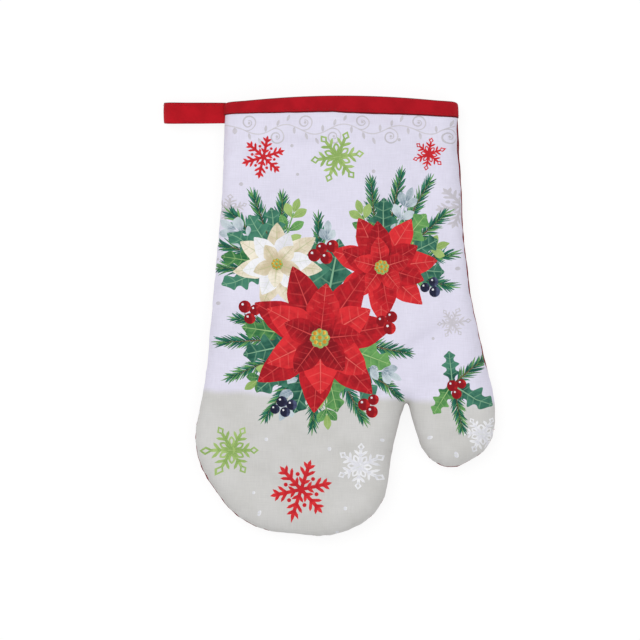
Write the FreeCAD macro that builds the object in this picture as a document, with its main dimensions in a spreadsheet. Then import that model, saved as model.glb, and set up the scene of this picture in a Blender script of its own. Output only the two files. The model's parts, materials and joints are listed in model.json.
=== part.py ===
"""Padded oven mitt lying on its back, in millimetres.

Each face of the mitt is three layers: a cotton panel, a sheet of wadding and a lining. The two
faces are sewn together round the edge, where the panels and linings turn in as seam allowances.
A folded tape binds the cuff, and a flattened loop of tape hangs off the cuff's left end.

+X runs across the hand towards the thumb, +Y from the fingertips to the cuff and +Z up out of
the front face. The origin is on the table, under the middle of the whole mitt.
"""

import FreeCAD, Part

import math
import os
import re

import Sketcher

DIMENSIONS = {
    # Layers of each face, from the outside in.
    "cloth": 0.6,
    "wadding": 4.0,
    "lining": 0.5,
    # The padded form: heights above the table or the seam, and the roundings at its edge.
    "seam_height": 7.0,
    "rim_height": 10.0,
    "palm_rise": 10.5,
    "thumb_rise": 5.0,
    "cuff_rise": 5.5,
    "front_round": 8.0,
    "back_round": 4.5,
    "groove_round": 1.2,
    "seam_allowance": 8.0,
    # The cuff's edge is a shallow arch, and its underside rises to leave room for the binding.
    "cuff_end": 139.3,
    "cuff_middle": 8.5,
    "cuff_arch": 665.0,
    "cuff_lift_run": 32.0,
    "cuff_lift_lead": 1.4,
    "cuff_zone": 36.0,
    # The tape that binds the cuff, and its stitches.
    "tape": 0.7,
    "binding_width": 9.0,
    "fold_round": 2.2,
    "stitch_length": 2.6,
    "stitch_pitch": 3.5,
    "stitch_inset": 1.6,
    "thread": 0.4,
    # The hanging loop, seen from its side as a teardrop.
    "loop_tape": 1.8,
    "loop_width": 13.2,
    "loop_inset": 9.6,
    "loop_clearance": 0.3,
    "loop_root_round": 2.0,
    "loop_reach": 30.3,
    "loop_end_round": 5.8,
    "loop_stitch_start": 7.0,
    "loop_stitch_length": 20.0,
    "loop_stitch_inset": 1.6,
}

# Corners of the outline, anticlockwise from the left above the cuff: x, y and rounding.
CORNERS = {
    "above_left": (-65.0, 165.0, 0.0),
    "wrist": (-69.0, 68.0, 60.0),
    "knuckle": (-79.0, -38.0, 48.0),
    "little_finger": (-88.5, -89.0, 50.0),
    "fingertip_left": (-55.5, -135.5, 50.0),
    "fingertip": (2.5, -141.0, 48.0),
    "fingertip_right": (34.5, -125.5, 30.0),
    "index_side": (39.5, -85.5, 12.0),
    "crotch": (49.0, -51.0, 3.0),
    "thumb_inside": (61.0, -90.0, 20.0),
    "thumb_tip": (78.0, -98.0, 14.0),
    "thumb_outside": (103.5, -84.0, 20.0),
    "thumb_back": (106.5, -59.5, 60.0),
    "thumb_base": (88.0, 26.0, 300.0),
    "above_right": (79.5, 165.0, 0.0),
}

# The front's crown over the palm, the thumb and the open cuff: middle x and y, then its reach
# across, towards the fingertips and towards the cuff.
CROWNS = {
    "palm_rise": (0.0, -10.0, 100.0, 175.0, 230.0),
    "thumb_rise": (80.0, -58.0, 38.0, 64.0, 76.0),
    "cuff_rise": (8.5, 150.0, 90.0, 90.0, 90.0),
}
CROWN_GRID_STEP = 10.0
CROWN_GRID_X = (-130.0, 150.0)
CROWN_GRID_Y = (-180.0, 200.0)

# Soft furrows in the front: middle x and y, direction in degrees, half length, width and depth.
FOLDS = {
    "cuff_left": (-50.0, 86.0, 112.0, 26.0, 8.0, 1.3),
    "wrist_left": (-58.0, 42.0, 78.0, 26.0, 8.0, 1.1),
    "cuff_right": (62.0, 88.0, 68.0, 26.0, 8.0, 1.2),
    "wrist_right": (74.0, 34.0, 98.0, 28.0, 8.0, 1.1),
    "thumb_root": (58.0, -18.0, 40.0, 22.0, 8.0, 1.4),
    "index_root": (24.0, -62.0, 125.0, 22.0, 8.0, 0.9),
    "little_finger_root": (-52.0, -60.0, 62.0, 24.0, 8.0, 0.9),
    "under_binding": (-12.0, 108.0, 6.0, 34.0, 9.0, 0.8),
}

FACES = ("front", "back")

# How deep each layer's inner side lies under the panel's face.
UNDER_PANEL = "cloth"
UNDER_WADDING = "cloth + wadding"
INSIDE = "cloth + wadding + lining"

# The loop's middle along the cuff's left side, and its root, which clears the binding there.
LOOP_MIDDLE = "cuff_end - loop_inset"
LOOP_ROOT = (
    "above_left_x + (wrist_x - above_left_x) * (above_left_y - cuff_end + loop_inset + "
    "loop_width / 2) / (above_left_y - wrist_y) - tape - loop_clearance - loop_root_round"
)

# Room beyond the mitt for the solids that cut it, and the least distance that counts.
CLEAR = 20.0
TOUCH = 1e-4

Vector = FreeCAD.Vector
doc = FreeCAD.newDocument("oven_mitt")
sheet = doc.addObject("Spreadsheet::Sheet", "Dimensions")


def fill_sheet():
    """Write every driving dimension into the sheet under its name."""
    cells = dict(DIMENSIONS)
    for corner, (x, y, rounding) in CORNERS.items():
        cells[f"{corner}_x"] = x
        cells[f"{corner}_y"] = y
        if rounding:
            cells[f"{corner}_round"] = rounding
    for row, (name, number) in enumerate(cells.items(), start=1):
        sheet.set(f"A{row}", name)
        sheet.set(f"B{row}", str(number))
        sheet.setAlias(f"B{row}", name)
    doc.recompute()


def amount(formula):
    """The number that a formula of sheet names comes to, such as cloth + wadding."""
    return float(sheet.evalExpression(formula))


def bind(feature, prop, formula):
    """Bind a property of an object to a formula of sheet names."""
    feature.setExpression(prop, re.sub(r"[a-z_]+", r"Dimensions.\g<0>", formula))


def add(kind, name, **properties):
    """Add an object to the document and set its plain properties."""
    feature = doc.addObject(kind, name)
    feature.Label = name
    for prop, setting in properties.items():
        setattr(feature, prop, setting)
    return feature


def outline_sketch():
    """The mitt's outline: straight edges between the named corners, rounded by tangent arcs."""
    sketch = add("Sketcher::SketchObject", "outline")
    names = list(CORNERS)
    points = [Vector(amount(f"{n}_x"), amount(f"{n}_y"), 0) for n in names]
    count = len(names)
    arrive, leave, arcs = [], [], []
    for i, name in enumerate(names):
        towards = (points[i] - points[i - 1]).normalize()
        away = (points[(i + 1) % count] - points[i]).normalize()
        radius = amount(f"{name}_round") if CORNERS[name][2] else 0.0
        turn = towards.getAngle(away)
        run = radius * math.tan(turn / 2)
        start, end = points[i] - towards * run, points[i] + away * run
        arrive.append(start)
        leave.append(end)
        if not radius:
            arcs.append(None)
            continue
        left_turn = towards.cross(away).z > 0
        side = Vector(-towards.y, towards.x, 0) * (radius if left_turn else -radius)
        centre = start + side
        first, last = (start, end) if left_turn else (end, start)
        angles = [math.atan2((p - centre).y, (p - centre).x) for p in (first, last)]
        circle = Part.Circle(centre, Vector(0, 0, 1), radius)
        arcs.append((Part.ArcOfCircle(circle, *angles), left_turn))
    lines = [
        sketch.addGeometry(Part.LineSegment(leave[i], arrive[(i + 1) % count])) for i in range(count)
    ]
    for i, name in enumerate(names):
        corner = sketch.addGeometry(Part.Point(points[i]), True)
        before, after = lines[i - 1], lines[i]
        for axis, number in (("x", points[i].x), ("y", points[i].y)):
            kind = f"Distance{axis.upper()}"
            fixed = sketch.addConstraint(Sketcher.Constraint(kind, -1, 1, corner, 1, number))
            sketch.renameConstraint(fixed, f"{name}_{axis}")
            bind(sketch, f"Constraints.{name}_{axis}", f"{name}_{axis}")
        for line in (before, after):
            sketch.addConstraint(Sketcher.Constraint("PointOnObject", corner, 1, line))
        if arcs[i] is None:
            sketch.addConstraint(Sketcher.Constraint("Coincident", before, 2, after, 1))
            continue
        shape, left_turn = arcs[i]
        arc = sketch.addGeometry(shape)
        first, last = (1, 2) if left_turn else (2, 1)
        sketch.addConstraint(Sketcher.Constraint("Tangent", before, 2, arc, first))
        sketch.addConstraint(Sketcher.Constraint("Tangent", arc, last, after, 1))
        fixed = sketch.addConstraint(Sketcher.Constraint("Radius", arc, shape.Radius))
        sketch.renameConstraint(fixed, f"{name}_round")
        bind(sketch, f"Constraints.{name}_round", f"{name}_round")
    return sketch


def swell(x, y, middle_x, middle_y, across, down, up):
    """A smooth hump, 1 at its middle and 0 at its reach."""
    along = (y - middle_y) / (up if y > middle_y else down)
    share = min(1.0, math.hypot((x - middle_x) / across, along))
    return math.cos(share * math.pi / 2) ** 2


def furrow(x, y, middle_x, middle_y, direction, length, width, depth):
    """How deep a soft fold is at a place: a smooth dip that fades along and across it."""
    angle = math.radians(direction)
    along = (x - middle_x) * math.cos(angle) + (y - middle_y) * math.sin(angle)
    across = (y - middle_y) * math.cos(angle) - (x - middle_x) * math.sin(angle)
    return depth * math.exp(-((along / length) ** 2) - (across / width) ** 2)


def crown_surface():
    """The front's gently domed surface over the palm, the thumb and the open cuff, with folds."""
    across = int((CROWN_GRID_X[1] - CROWN_GRID_X[0]) / CROWN_GRID_STEP) + 1
    along = int((CROWN_GRID_Y[1] - CROWN_GRID_Y[0]) / CROWN_GRID_STEP) + 1
    rim = amount("seam_height") + amount("rim_height")
    rises = {name: amount(name) for name in CROWNS}
    grid = []
    for i in range(across):
        x = CROWN_GRID_X[0] + i * CROWN_GRID_STEP
        column = []
        for j in range(along):
            y = CROWN_GRID_Y[0] + j * CROWN_GRID_STEP
            rise = sum(height * swell(x, y, *CROWNS[name]) for name, height in rises.items())
            dip = sum(furrow(x, y, *fold) for fold in FOLDS.values())
            column.append(Vector(x, y, rim + rise - dip))
        grid.append(column)
    surface = Part.BSplineSurface()
    surface.interpolate(grid)
    return add("Part::Feature", "crown", Shape=surface.toShape())


def underside_profile():
    """Side view of the space above the table: flat, then rising by the tape's thickness."""
    rise = amount("tape")
    run = amount("cuff_lift_run")
    top = amount("seam_height") + CLEAR
    end = amount("cuff_end - binding_width - cuff_lift_lead")
    start, middle = end - run, end - run / 2
    far, near = CROWN_GRID_Y[1], CROWN_GRID_Y[0]
    bend = (run**2 / 4 + rise**2 / 4) / rise
    quarter = math.asin(run / 2 / bend) / 2
    low_side = Vector(0, start + bend * math.sin(quarter), bend * (1 - math.cos(quarter)))
    high_side = Vector(0, end - bend * math.sin(quarter), rise - bend * (1 - math.cos(quarter)))
    turn = Vector(0, middle, rise / 2)
    edges = [
        Part.LineSegment(Vector(0, near, 0), Vector(0, start, 0)),
        Part.Arc(Vector(0, start, 0), low_side, turn),
        Part.Arc(turn, high_side, Vector(0, end, rise)),
        Part.LineSegment(Vector(0, end, rise), Vector(0, far, rise)),
        Part.LineSegment(Vector(0, far, rise), Vector(0, far, top)),
        Part.LineSegment(Vector(0, far, top), Vector(0, near, top)),
        Part.LineSegment(Vector(0, near, top), Vector(0, near, 0)),
    ]
    wire = Part.Wire([edge.toShape() for edge in edges])
    return add("Part::Feature", "underside", Shape=Part.Face(wire))


def column(name, depth, floor, height):
    """A straight-sided solid inside the outline, which is taken in by a depth."""
    base = outline
    if depth != "0":
        base = add("Part::Offset2D", f"{name}_inset", Source=outline, Mode="Pipe", Join="Arc")
        bind(base, "Value", f"-({depth})")
    solid = add("Part::Extrusion", f"{name}_column", Base=base, DirMode="Custom", Solid=True)
    solid.Dir = Vector(0, 0, 1)
    bind(solid, "LengthFwd", height)
    bind(solid, ".Placement.Base.z", floor)
    return solid


def half(face, name, depth, step="0", groove="0", zone=None):
    """The front or back half of the padded form, taken in by a depth from the panel's face.

    The step is the room left at the seam for seam allowances. The groove is the rounding beside
    the seam; edges that run straight across the mitt, beyond the cuff or at the end of a zone,
    stay sharp. A zone keeps only the part of the half that lies in it.
    """
    front = face == "front"
    if front:
        straight = column(name, depth, f"seam_height + {step}", f"rim_height + palm_rise + {CLEAR}")
        block = add("Part::Extrusion", f"{name}_block", Base=crown, DirMode="Custom", Solid=True)
        block.Dir = Vector(0, 0, -1)
        bind(block, "LengthFwd", f"seam_height + rim_height + palm_rise + {CLEAR}")
        bind(block, ".Placement.Base.z", f"-({depth})")
    else:
        straight = column(name, depth, f"-{CLEAR}", f"{CLEAR} + seam_height - ({step})")
        block = add("Part::Extrusion", f"{name}_block", Base=underside, DirMode="Custom")
        block.Dir = Vector(1, 0, 0)
        block.Solid = block.Symmetric = True
        block.LengthFwd = CROWN_GRID_X[1] - CROWN_GRID_X[0]
        bind(block, ".Placement.Base.z", depth)
    square = common(f"{name}_square", straight, block)
    if zone:
        square = common(f"{name}_zone", square, zone)
    doc.recompute()
    seam = amount(f"seam_height + {step}") if front else amount(f"seam_height - ({step})")
    rim_round = max(0.0, amount(f"{face}_round - ({depth})"))
    groove_round = amount(groove)
    rounded = []
    for number, edge in enumerate(square.Shape.Edges, start=1):
        box = edge.BoundBox
        straight_end = box.YLength < TOUCH
        beside_seam = max(abs(box.ZMin - seam), abs(box.ZMax - seam)) < TOUCH
        radius = groove_round if beside_seam else rim_round
        if radius and not straight_end:
            rounded.append((number, radius, radius))
    if not rounded:
        return square
    form = add("Part::Fillet", f"{name}_form", Base=square)
    form.Edges = rounded
    doc.recompute()
    return form


def cut(name, base, tool):
    """One solid less another."""
    return add("Part::Cut", name, Base=base, Tool=tool)


def common(name, base, tool):
    """What two solids share."""
    return add("Part::Common", name, Base=base, Tool=tool)


def arch(name, reach):
    """The space on the finger side of the cuff's arch, or of an arch beside it."""
    solid = add("Part::Cylinder", name)
    bind(solid, "Radius", f"cuff_arch + ({reach})")
    bind(solid, "Height", f"seam_height + rim_height + palm_rise + 2 * {CLEAR}")
    bind(solid, ".Placement.Base.x", "cuff_middle")
    bind(solid, ".Placement.Base.y", "cuff_end - cuff_arch")
    solid.setExpression(".Placement.Base.z", f"-{CLEAR}")
    return solid


def cuff_box():
    """A box round the cuff's end of the mitt, where the binding and its stitches are built."""
    box = add("Part::Box", "cuff_zone", Length=CROWN_GRID_X[1] - CROWN_GRID_X[0])
    bind(box, "Width", f"cuff_zone + {CLEAR}")
    bind(box, "Height", f"seam_height + rim_height + palm_rise + 3 * {CLEAR}")
    box.Placement.Base = Vector(CROWN_GRID_X[0], 0, -CLEAR)
    bind(box, ".Placement.Base.y", "cuff_end - cuff_zone")
    return box


def allowance_window():
    """The space between the seam allowances, which are cut short where the binding wraps them."""
    depth = "2 * (cloth + lining)"
    low = "seam_height - cloth - lining"
    pocket = column("pocket_window", "seam_allowance", low, depth)
    mouth = cut("mouth_window", column("mouth_window_whole", INSIDE, low, depth), binding_foot)
    return add("Part::Fuse", "seam_window", Base=pocket, Tool=mouth)


def face_layers(face):
    """The panel, wadding and lining of one face, each with its own turned-in edge."""
    outside = half(face, f"{face}_outside", "0", "0", "groove_round")
    under_panel = half(face, f"{face}_under_panel", UNDER_PANEL, "cloth", "groove_round - cloth")
    under_wadding = half(face, f"{face}_under_wadding", UNDER_WADDING, "cloth")
    inside = half(face, f"{face}_inside", INSIDE, "cloth + lining")
    shells = {
        "panel": (outside, under_panel),
        "wadding": (under_panel, under_wadding),
        "lining": (under_wadding, inside),
    }
    layers = []
    for layer, (outer, inner) in shells.items():
        solid = cut(f"{face}_{layer}_shell", outer, inner)
        if layer != "wadding":
            solid = cut(f"{face}_{layer}_opened", solid, seam_window)
        layers.append(common(f"{face}_{layer}", solid, cuff_space))
    doc.recompute()
    return layers


def cuff_form(name, depth):
    """Both halves of the padded form beside the cuff, taken in by a depth."""
    front, back = [half(face, f"{face}_{name}", depth, zone=cuff_zone) for face in FACES]
    return front, add("Part::Fuse", name, Base=front, Tool=back)


def cuff_binding():
    """The tape folded over the cuff's raw edges, all the way round the mouth."""
    front, outside = cuff_form("binding_outside", "-tape")
    inside = cuff_form("binding_inside", f"{INSIDE} + tape")[1]
    capped = common("binding_capped", outside, arch("binding_top", "tape"))
    band = cut("binding_band", capped, binding_foot)
    doc.recompute()
    middle = Vector(amount("cuff_middle"), amount("cuff_end - cuff_arch"))
    top = amount("cuff_arch + tape")
    ends = []
    for number, edge in enumerate(band.Shape.Edges, start=1):
        flat = [Vector(p.x, p.y) for p in edge.discretize(3)]
        if all(abs(p.distanceToPoint(middle) - top) < TOUCH for p in flat):
            ends.append((number, amount("fold_round"), amount("fold_round")))
    fold = add("Part::Fillet", "binding_fold", Base=band)
    fold.Edges = ends
    ring = cut("binding_ring", fold, inside)
    wall_outside = cuff_form("wall_outside", "0")[1]
    wall_inside = cuff_form("wall_inside", INSIDE)[1]
    wall = common("cuff_wall", cut("wall_ring", wall_outside, wall_inside), cuff_space)
    return front, cut("cuff_binding", ring, wall)


def stitch_teeth():
    """Upright bars across the cuff, one for each stitch of the binding's row."""
    sketch = add("Sketcher::SketchObject", "stitch_teeth")
    pitch, length = amount("stitch_pitch"), amount("stitch_length")
    start, end = amount("above_left_x"), amount("above_right_x")
    low = amount("cuff_end - cuff_zone")
    high = amount("cuff_end") + CLEAR
    for step in range(int((end - start) / pitch)):
        left = start + pitch * (step + 0.5)
        right = left + length
        around = [Vector(left, low), Vector(right, low), Vector(right, high), Vector(left, high)]
        for i, corner in enumerate(around):
            sketch.addGeometry(Part.LineSegment(corner, around[(i + 1) % 4]))
    teeth = add("Part::Extrusion", "stitch_bars", Base=sketch, DirMode="Custom", Solid=True)
    teeth.Dir = Vector(0, 0, 1)
    bind(teeth, "LengthFwd", f"seam_height + rim_height + palm_rise + {CLEAR}")
    return teeth


def binding_stitching(binding_face):
    """The row of stitches through the binding, standing on its front face beside its edge."""
    proud = half("front", "stitch_outside", "-tape - thread", zone=cuff_zone)
    skin = cut("stitch_skin", proud, binding_face)
    inset = "tape - binding_width + stitch_inset"
    near = common("stitch_near", skin, arch("stitch_far_side", f"{inset} + thread"))
    line = cut("stitch_line", near, arch("stitch_near_side", inset))
    return common("binding_stitching", line, stitch_teeth())


def side_seam():
    """The thread that lies in the groove of the seam, round the edge from cuff to cuff."""
    around = column("seam_around", "0", "seam_height - thread / 2", "thread")
    within = column("seam_within", "thread", "seam_height - thread / 2", "thread")
    ring = cut("seam_ring", around, within)
    return common("side_seam", ring, binding_foot)


def hull_of_circles(sketch, ends):
    """Add two round ends and the two straight sides that touch both, fully constrained.

    Each end is its centre, the formula of its radius and the formulas of its centre.
    """
    (root, root_round, root_place), (tip, tip_round, tip_place) = ends
    root_radius, tip_radius = amount(root_round), amount(tip_round)
    reach = tip - root
    spread = math.asin((tip_radius - root_radius) / reach.Length)
    facing = math.atan2(reach.y, reach.x)
    above, below = facing - math.pi / 2 - spread, facing + math.pi / 2 + spread
    up = Vector(math.cos(above), math.sin(above))
    down = Vector(math.cos(below), math.sin(below))
    axis = Vector(0, 0, 1)
    parts = [
        Part.ArcOfCircle(Part.Circle(tip, axis, tip_radius), above, below),
        Part.LineSegment(tip + down * tip_radius, root + down * root_radius),
        Part.ArcOfCircle(Part.Circle(root, axis, root_radius), below, above + 2 * math.pi),
        Part.LineSegment(root + up * root_radius, tip + up * tip_radius),
    ]
    tip_arc, lower, root_arc, upper = [sketch.addGeometry(part) for part in parts]
    for first, first_end, second, second_start in (
        (tip_arc, 2, lower, 1),
        (lower, 2, root_arc, 1),
        (root_arc, 2, upper, 1),
        (upper, 2, tip_arc, 1),
    ):
        sketch.addConstraint(Sketcher.Constraint("Tangent", first, first_end, second, second_start))
    for arc, centre, radius, place in (
        (tip_arc, tip, tip_round, tip_place),
        (root_arc, root, root_round, root_place),
    ):
        for kind, number, formula in (
            ("DistanceX", centre.x, place[0]),
            ("DistanceY", centre.y, place[1]),
        ):
            fixed = sketch.addConstraint(Sketcher.Constraint(kind, -1, 1, arc, 3, number))
            bind(sketch, f"Constraints[{fixed}]", formula)
        fixed = sketch.addConstraint(Sketcher.Constraint("Radius", arc, amount(radius)))
        bind(sketch, f"Constraints[{fixed}]", radius)


def hanging_loop():
    """The loop: a tape folded on itself, pinched at the cuff and round at its far end."""
    body = add("PartDesign::Body", "hanging_loop")
    sketch = body.newObject("Sketcher::SketchObject", "loop_side")
    plane = next(p for p in body.Origin.OriginFeatures if p.Role == "XZ_Plane")
    sketch.AttachmentSupport = (plane, "")
    sketch.MapMode = "FlatFace"
    doc.recompute()
    root_place = (LOOP_ROOT, "seam_height")
    tip_place = (f"{LOOP_ROOT} - loop_reach", "loop_end_round")
    root = Vector(amount(root_place[0]), amount(root_place[1]))
    tip = Vector(amount(tip_place[0]), amount(tip_place[1]))
    for inward in ("", " - loop_tape"):
        root_end = (root, f"loop_root_round{inward}", root_place)
        tip_end = (tip, f"loop_end_round{inward}", tip_place)
        hull_of_circles(sketch, (root_end, tip_end))
    pad = body.newObject("PartDesign::Pad", "loop_pad")
    pad.Profile = sketch
    pad.SideType = "Symmetric"
    bind(pad, "Length", "loop_width")
    bind(body, ".Placement.Base.y", LOOP_MIDDLE)
    return body


def loop_stitching():
    """The stitches that close the loop's folded tape, as one raised line along its upper side."""
    line = add("Part::Box", "loop_stitching")
    bind(line, "Length", "loop_stitch_length")
    bind(line, "Width", "thread")
    bind(line, "Height", "thread")
    root = Vector(amount(LOOP_ROOT), 0, amount("seam_height"))
    tip = Vector(amount(f"{LOOP_ROOT} - loop_reach"), 0, amount("loop_end_round"))
    reach = root - tip
    spread = math.asin(amount("loop_end_round - loop_root_round") / reach.Length)
    slope = math.atan2(reach.z, reach.x) - spread
    along = Vector(math.cos(slope), 0, math.sin(slope))
    up = Vector(-math.sin(slope), 0, math.cos(slope))
    far = amount("loop_stitch_start + loop_stitch_length")
    corner = root + up * amount("loop_root_round") - along * far
    corner.y = amount(f"{LOOP_MIDDLE} + loop_width / 2 - loop_stitch_inset - thread")
    turned = FreeCAD.Rotation(Vector(0, 1, 0), -math.degrees(slope))
    line.Placement = FreeCAD.Placement(corner, turned)
    return line


def check_and_write(nodes):
    """Stop if anything in the document failed, then write each piece to a file of its own."""
    doc.recompute()
    for item in doc.Objects:
        faults = {"Invalid", "Error"} & set(item.State)
        if faults:
            raise RuntimeError(f"{item.Label}: {sorted(faults)}")
    for node in nodes:
        if node.Shape.isNull() or not node.Shape.isValid():
            raise RuntimeError(f"{node.Label}: no valid shape")
    os.makedirs("parts", exist_ok=True)
    for node in nodes:
        node.Shape.exportStep(f"parts/{node.Label}.step")
        box = node.Shape.optimalBoundingBox()
        print(
            f"{node.Label:18s} solids {len(node.Shape.Solids):3d}  volume {node.Shape.Volume:9.0f}"
            f"  x {box.XMin:7.2f} {box.XMax:7.2f}  y {box.YMin:7.2f} {box.YMax:7.2f}"
            f"  z {box.ZMin:6.2f} {box.ZMax:6.2f}"
        )


fill_sheet()
outline = outline_sketch()
crown = crown_surface()
underside = underside_profile()
cuff_space = arch("cuff_space", "0")
binding_foot = arch("binding_foot", "tape - binding_width")
cuff_zone = cuff_box()
seam_window = allowance_window()
front_face_of_binding, binding = cuff_binding()
check_and_write(
    [
        *[layer for face in FACES for layer in face_layers(face)],
        side_seam(),
        binding,
        binding_stitching(front_face_of_binding),
        hanging_loop(),
        loop_stitching(),
    ]
)
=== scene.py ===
"""Padded oven mitt lying on its back on a pale floor, in metres.

Each face of the mitt is a cotton panel over wadding and a lining. The front panel is printed cotton
with a winter design of poinsettias, holly, fir and snowflakes, and the back panel is plain red.
A red tape binds the cuff, and a loop of the same tape hangs off the cuff's left end.

Plan, flat and cloth points are rows of x and y, and placed points are rows of x, y and z.
"""

import json
import logging
import math
import random
from collections import Counter
from dataclasses import dataclass, field
from enum import Enum
from functools import partial
from typing import Callable, Iterable, Sequence

import bpy
import numpy as np
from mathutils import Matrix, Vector
from mathutils.geometry import delaunay_2d_cdt
from mathutils.kdtree import KDTree


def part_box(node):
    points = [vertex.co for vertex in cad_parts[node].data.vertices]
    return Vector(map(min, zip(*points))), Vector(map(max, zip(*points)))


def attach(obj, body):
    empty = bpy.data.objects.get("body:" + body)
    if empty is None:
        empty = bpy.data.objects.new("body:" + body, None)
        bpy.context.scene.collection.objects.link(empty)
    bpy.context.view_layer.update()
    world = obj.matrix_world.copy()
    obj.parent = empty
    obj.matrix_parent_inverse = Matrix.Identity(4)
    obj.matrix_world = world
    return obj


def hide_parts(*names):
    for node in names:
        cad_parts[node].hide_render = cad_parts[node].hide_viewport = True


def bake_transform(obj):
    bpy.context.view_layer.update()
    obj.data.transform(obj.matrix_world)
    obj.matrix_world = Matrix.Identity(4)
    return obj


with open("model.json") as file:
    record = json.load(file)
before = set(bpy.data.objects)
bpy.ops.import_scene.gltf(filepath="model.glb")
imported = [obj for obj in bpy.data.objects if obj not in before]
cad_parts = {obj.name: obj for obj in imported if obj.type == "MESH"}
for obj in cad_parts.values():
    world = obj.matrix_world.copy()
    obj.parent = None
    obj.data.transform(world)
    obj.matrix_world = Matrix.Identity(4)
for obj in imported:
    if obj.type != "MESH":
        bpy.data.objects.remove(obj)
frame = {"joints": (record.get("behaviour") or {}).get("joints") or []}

log = logging.getLogger("oven_mitt")

MM = 0.001

Colour = tuple[float, float, float, float]
Array = np.ndarray
Material = bpy.types.Material
Object = bpy.types.Object
Node = bpy.types.Node
Tree = bpy.types.NodeTree
Socket = bpy.types.NodeSocket
Sockets = dict[str, Socket]
Value = Socket | float | tuple[float, ...]
Paint = Callable[["Graph", Socket], Value]


def srgb(red: int, green: int, blue: int) -> Colour:
    """Turn a colour of 0 to 255 per channel into Blender's linear colour.

    Args:
        red: Red, 0 to 255.
        green: Green, 0 to 255.
        blue: Blue, 0 to 255.

    Returns:
        The linear colour with an alpha of 1.
    """
    shares = [channel / 255 for channel in (red, green, blue)]
    linear = [s / 12.92 if s <= 0.04045 else ((s + 0.055) / 1.055) ** 2.4 for s in shares]
    return (*linear, 1.0)


def smooth(low: float, high: float, at: Array | float) -> Array | float:
    """Rise smoothly from 0 at the low value to 1 at the high one."""
    share = np.clip((at - low) / (high - low), 0.0, 1.0)
    return share * share * (3 - 2 * share)


def bell(at: Array, middle: float, reach: float) -> Array:
    """A bell curve that is 1 at its middle and falls off over its reach."""
    return np.exp(-(((at - middle) / reach) ** 2))


def unit(ways: Array) -> Array:
    """Vectors shortened or lengthened to 1."""
    return ways / np.linalg.norm(ways, axis=-1, keepdims=True)


def runs_along(line: Array, closed: bool = False) -> Array:
    """Distance along a line to each of its points, and to its first one again if it closes."""
    steps = np.diff(np.concatenate((line, line[:1])) if closed else line, axis=0)
    return np.concatenate(([0.0], np.cumsum(np.linalg.norm(steps, axis=1))))


def on_line(at: Array, runs: Array, line: Array) -> Array:
    """The points at given distances along a line."""
    return np.stack([np.interp(at, runs, column) for column in line.T], axis=1)


def search_tree(plan: Array) -> KDTree:
    """A tree that finds the nearest of some flat points.

    Args:
        plan: The points.

    Returns:
        The tree, ready to search.
    """
    tree = KDTree(len(plan))
    for index, (x, y) in enumerate(plan):
        tree.insert((x, y, 0.0), index)
    tree.balance()
    return tree


def put(name: str, data: bpy.types.ID) -> Object:
    """Make an object and link it to the scene.

    Args:
        name: Its name.
        data: The mesh, lamp or camera that it shows.

    Returns:
        The object.
    """
    made = bpy.data.objects.new(name, data)
    bpy.context.scene.collection.objects.link(made)
    return made


def bare_material(name: str) -> tuple[Material, "Graph"]:
    """Start a material.

    Args:
        name: Its name.

    Returns:
        The material with no nodes yet, and the graph that adds them.
    """
    made = bpy.data.materials.new(name)
    made.use_nodes = True
    made.node_tree.nodes.clear()
    return made, Graph(made.node_tree)


class Face(Enum):
    """The two faces of the mitt, with the way each one bulges."""

    FRONT = 1
    BACK = -1


class Depth(float, Enum):
    """How deep the layers of a face lie in the wall."""

    WADDING_OUTSIDE = 0.75
    WADDING_INSIDE = 4.5
    LINING_INSIDE = 5.1


@dataclass(frozen=True)
class InkFinish:
    """One ink of the print.

    Args:
        light: Its light wash.
        dark: Its dark wash.
        rib: The colour of its ribs and veins.
        rib_width: Half the width of its middle rib, as a share of the shape's.
        side_ribs: How strong its side ribs are.
    """

    light: Colour
    dark: Colour
    rib: Colour = (1.0, 1.0, 1.0, 1.0)
    rib_width: float = 0.0
    side_ribs: float = 0.0

    def paint(self, effects: "Effects", g: "Graph", place: Socket) -> Socket:
        """Paint a printed shape with the ink.

        Args:
            effects: The shared groups.
            g: The material's graph.
            place: The place on the cloth.

        Returns:
            The colour.
        """
        painted = g.group(
            effects.painted(),
            Local=g.map("Shape"),
            Place=place,
            Tone=g.map("Tone"),
            Light=self.light,
            Dark=self.dark,
            Rib=self.rib,
            Rib_Width=self.rib_width,
            Side_Ribs=self.side_ribs,
        )
        return painted.outputs["Color"]


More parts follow.
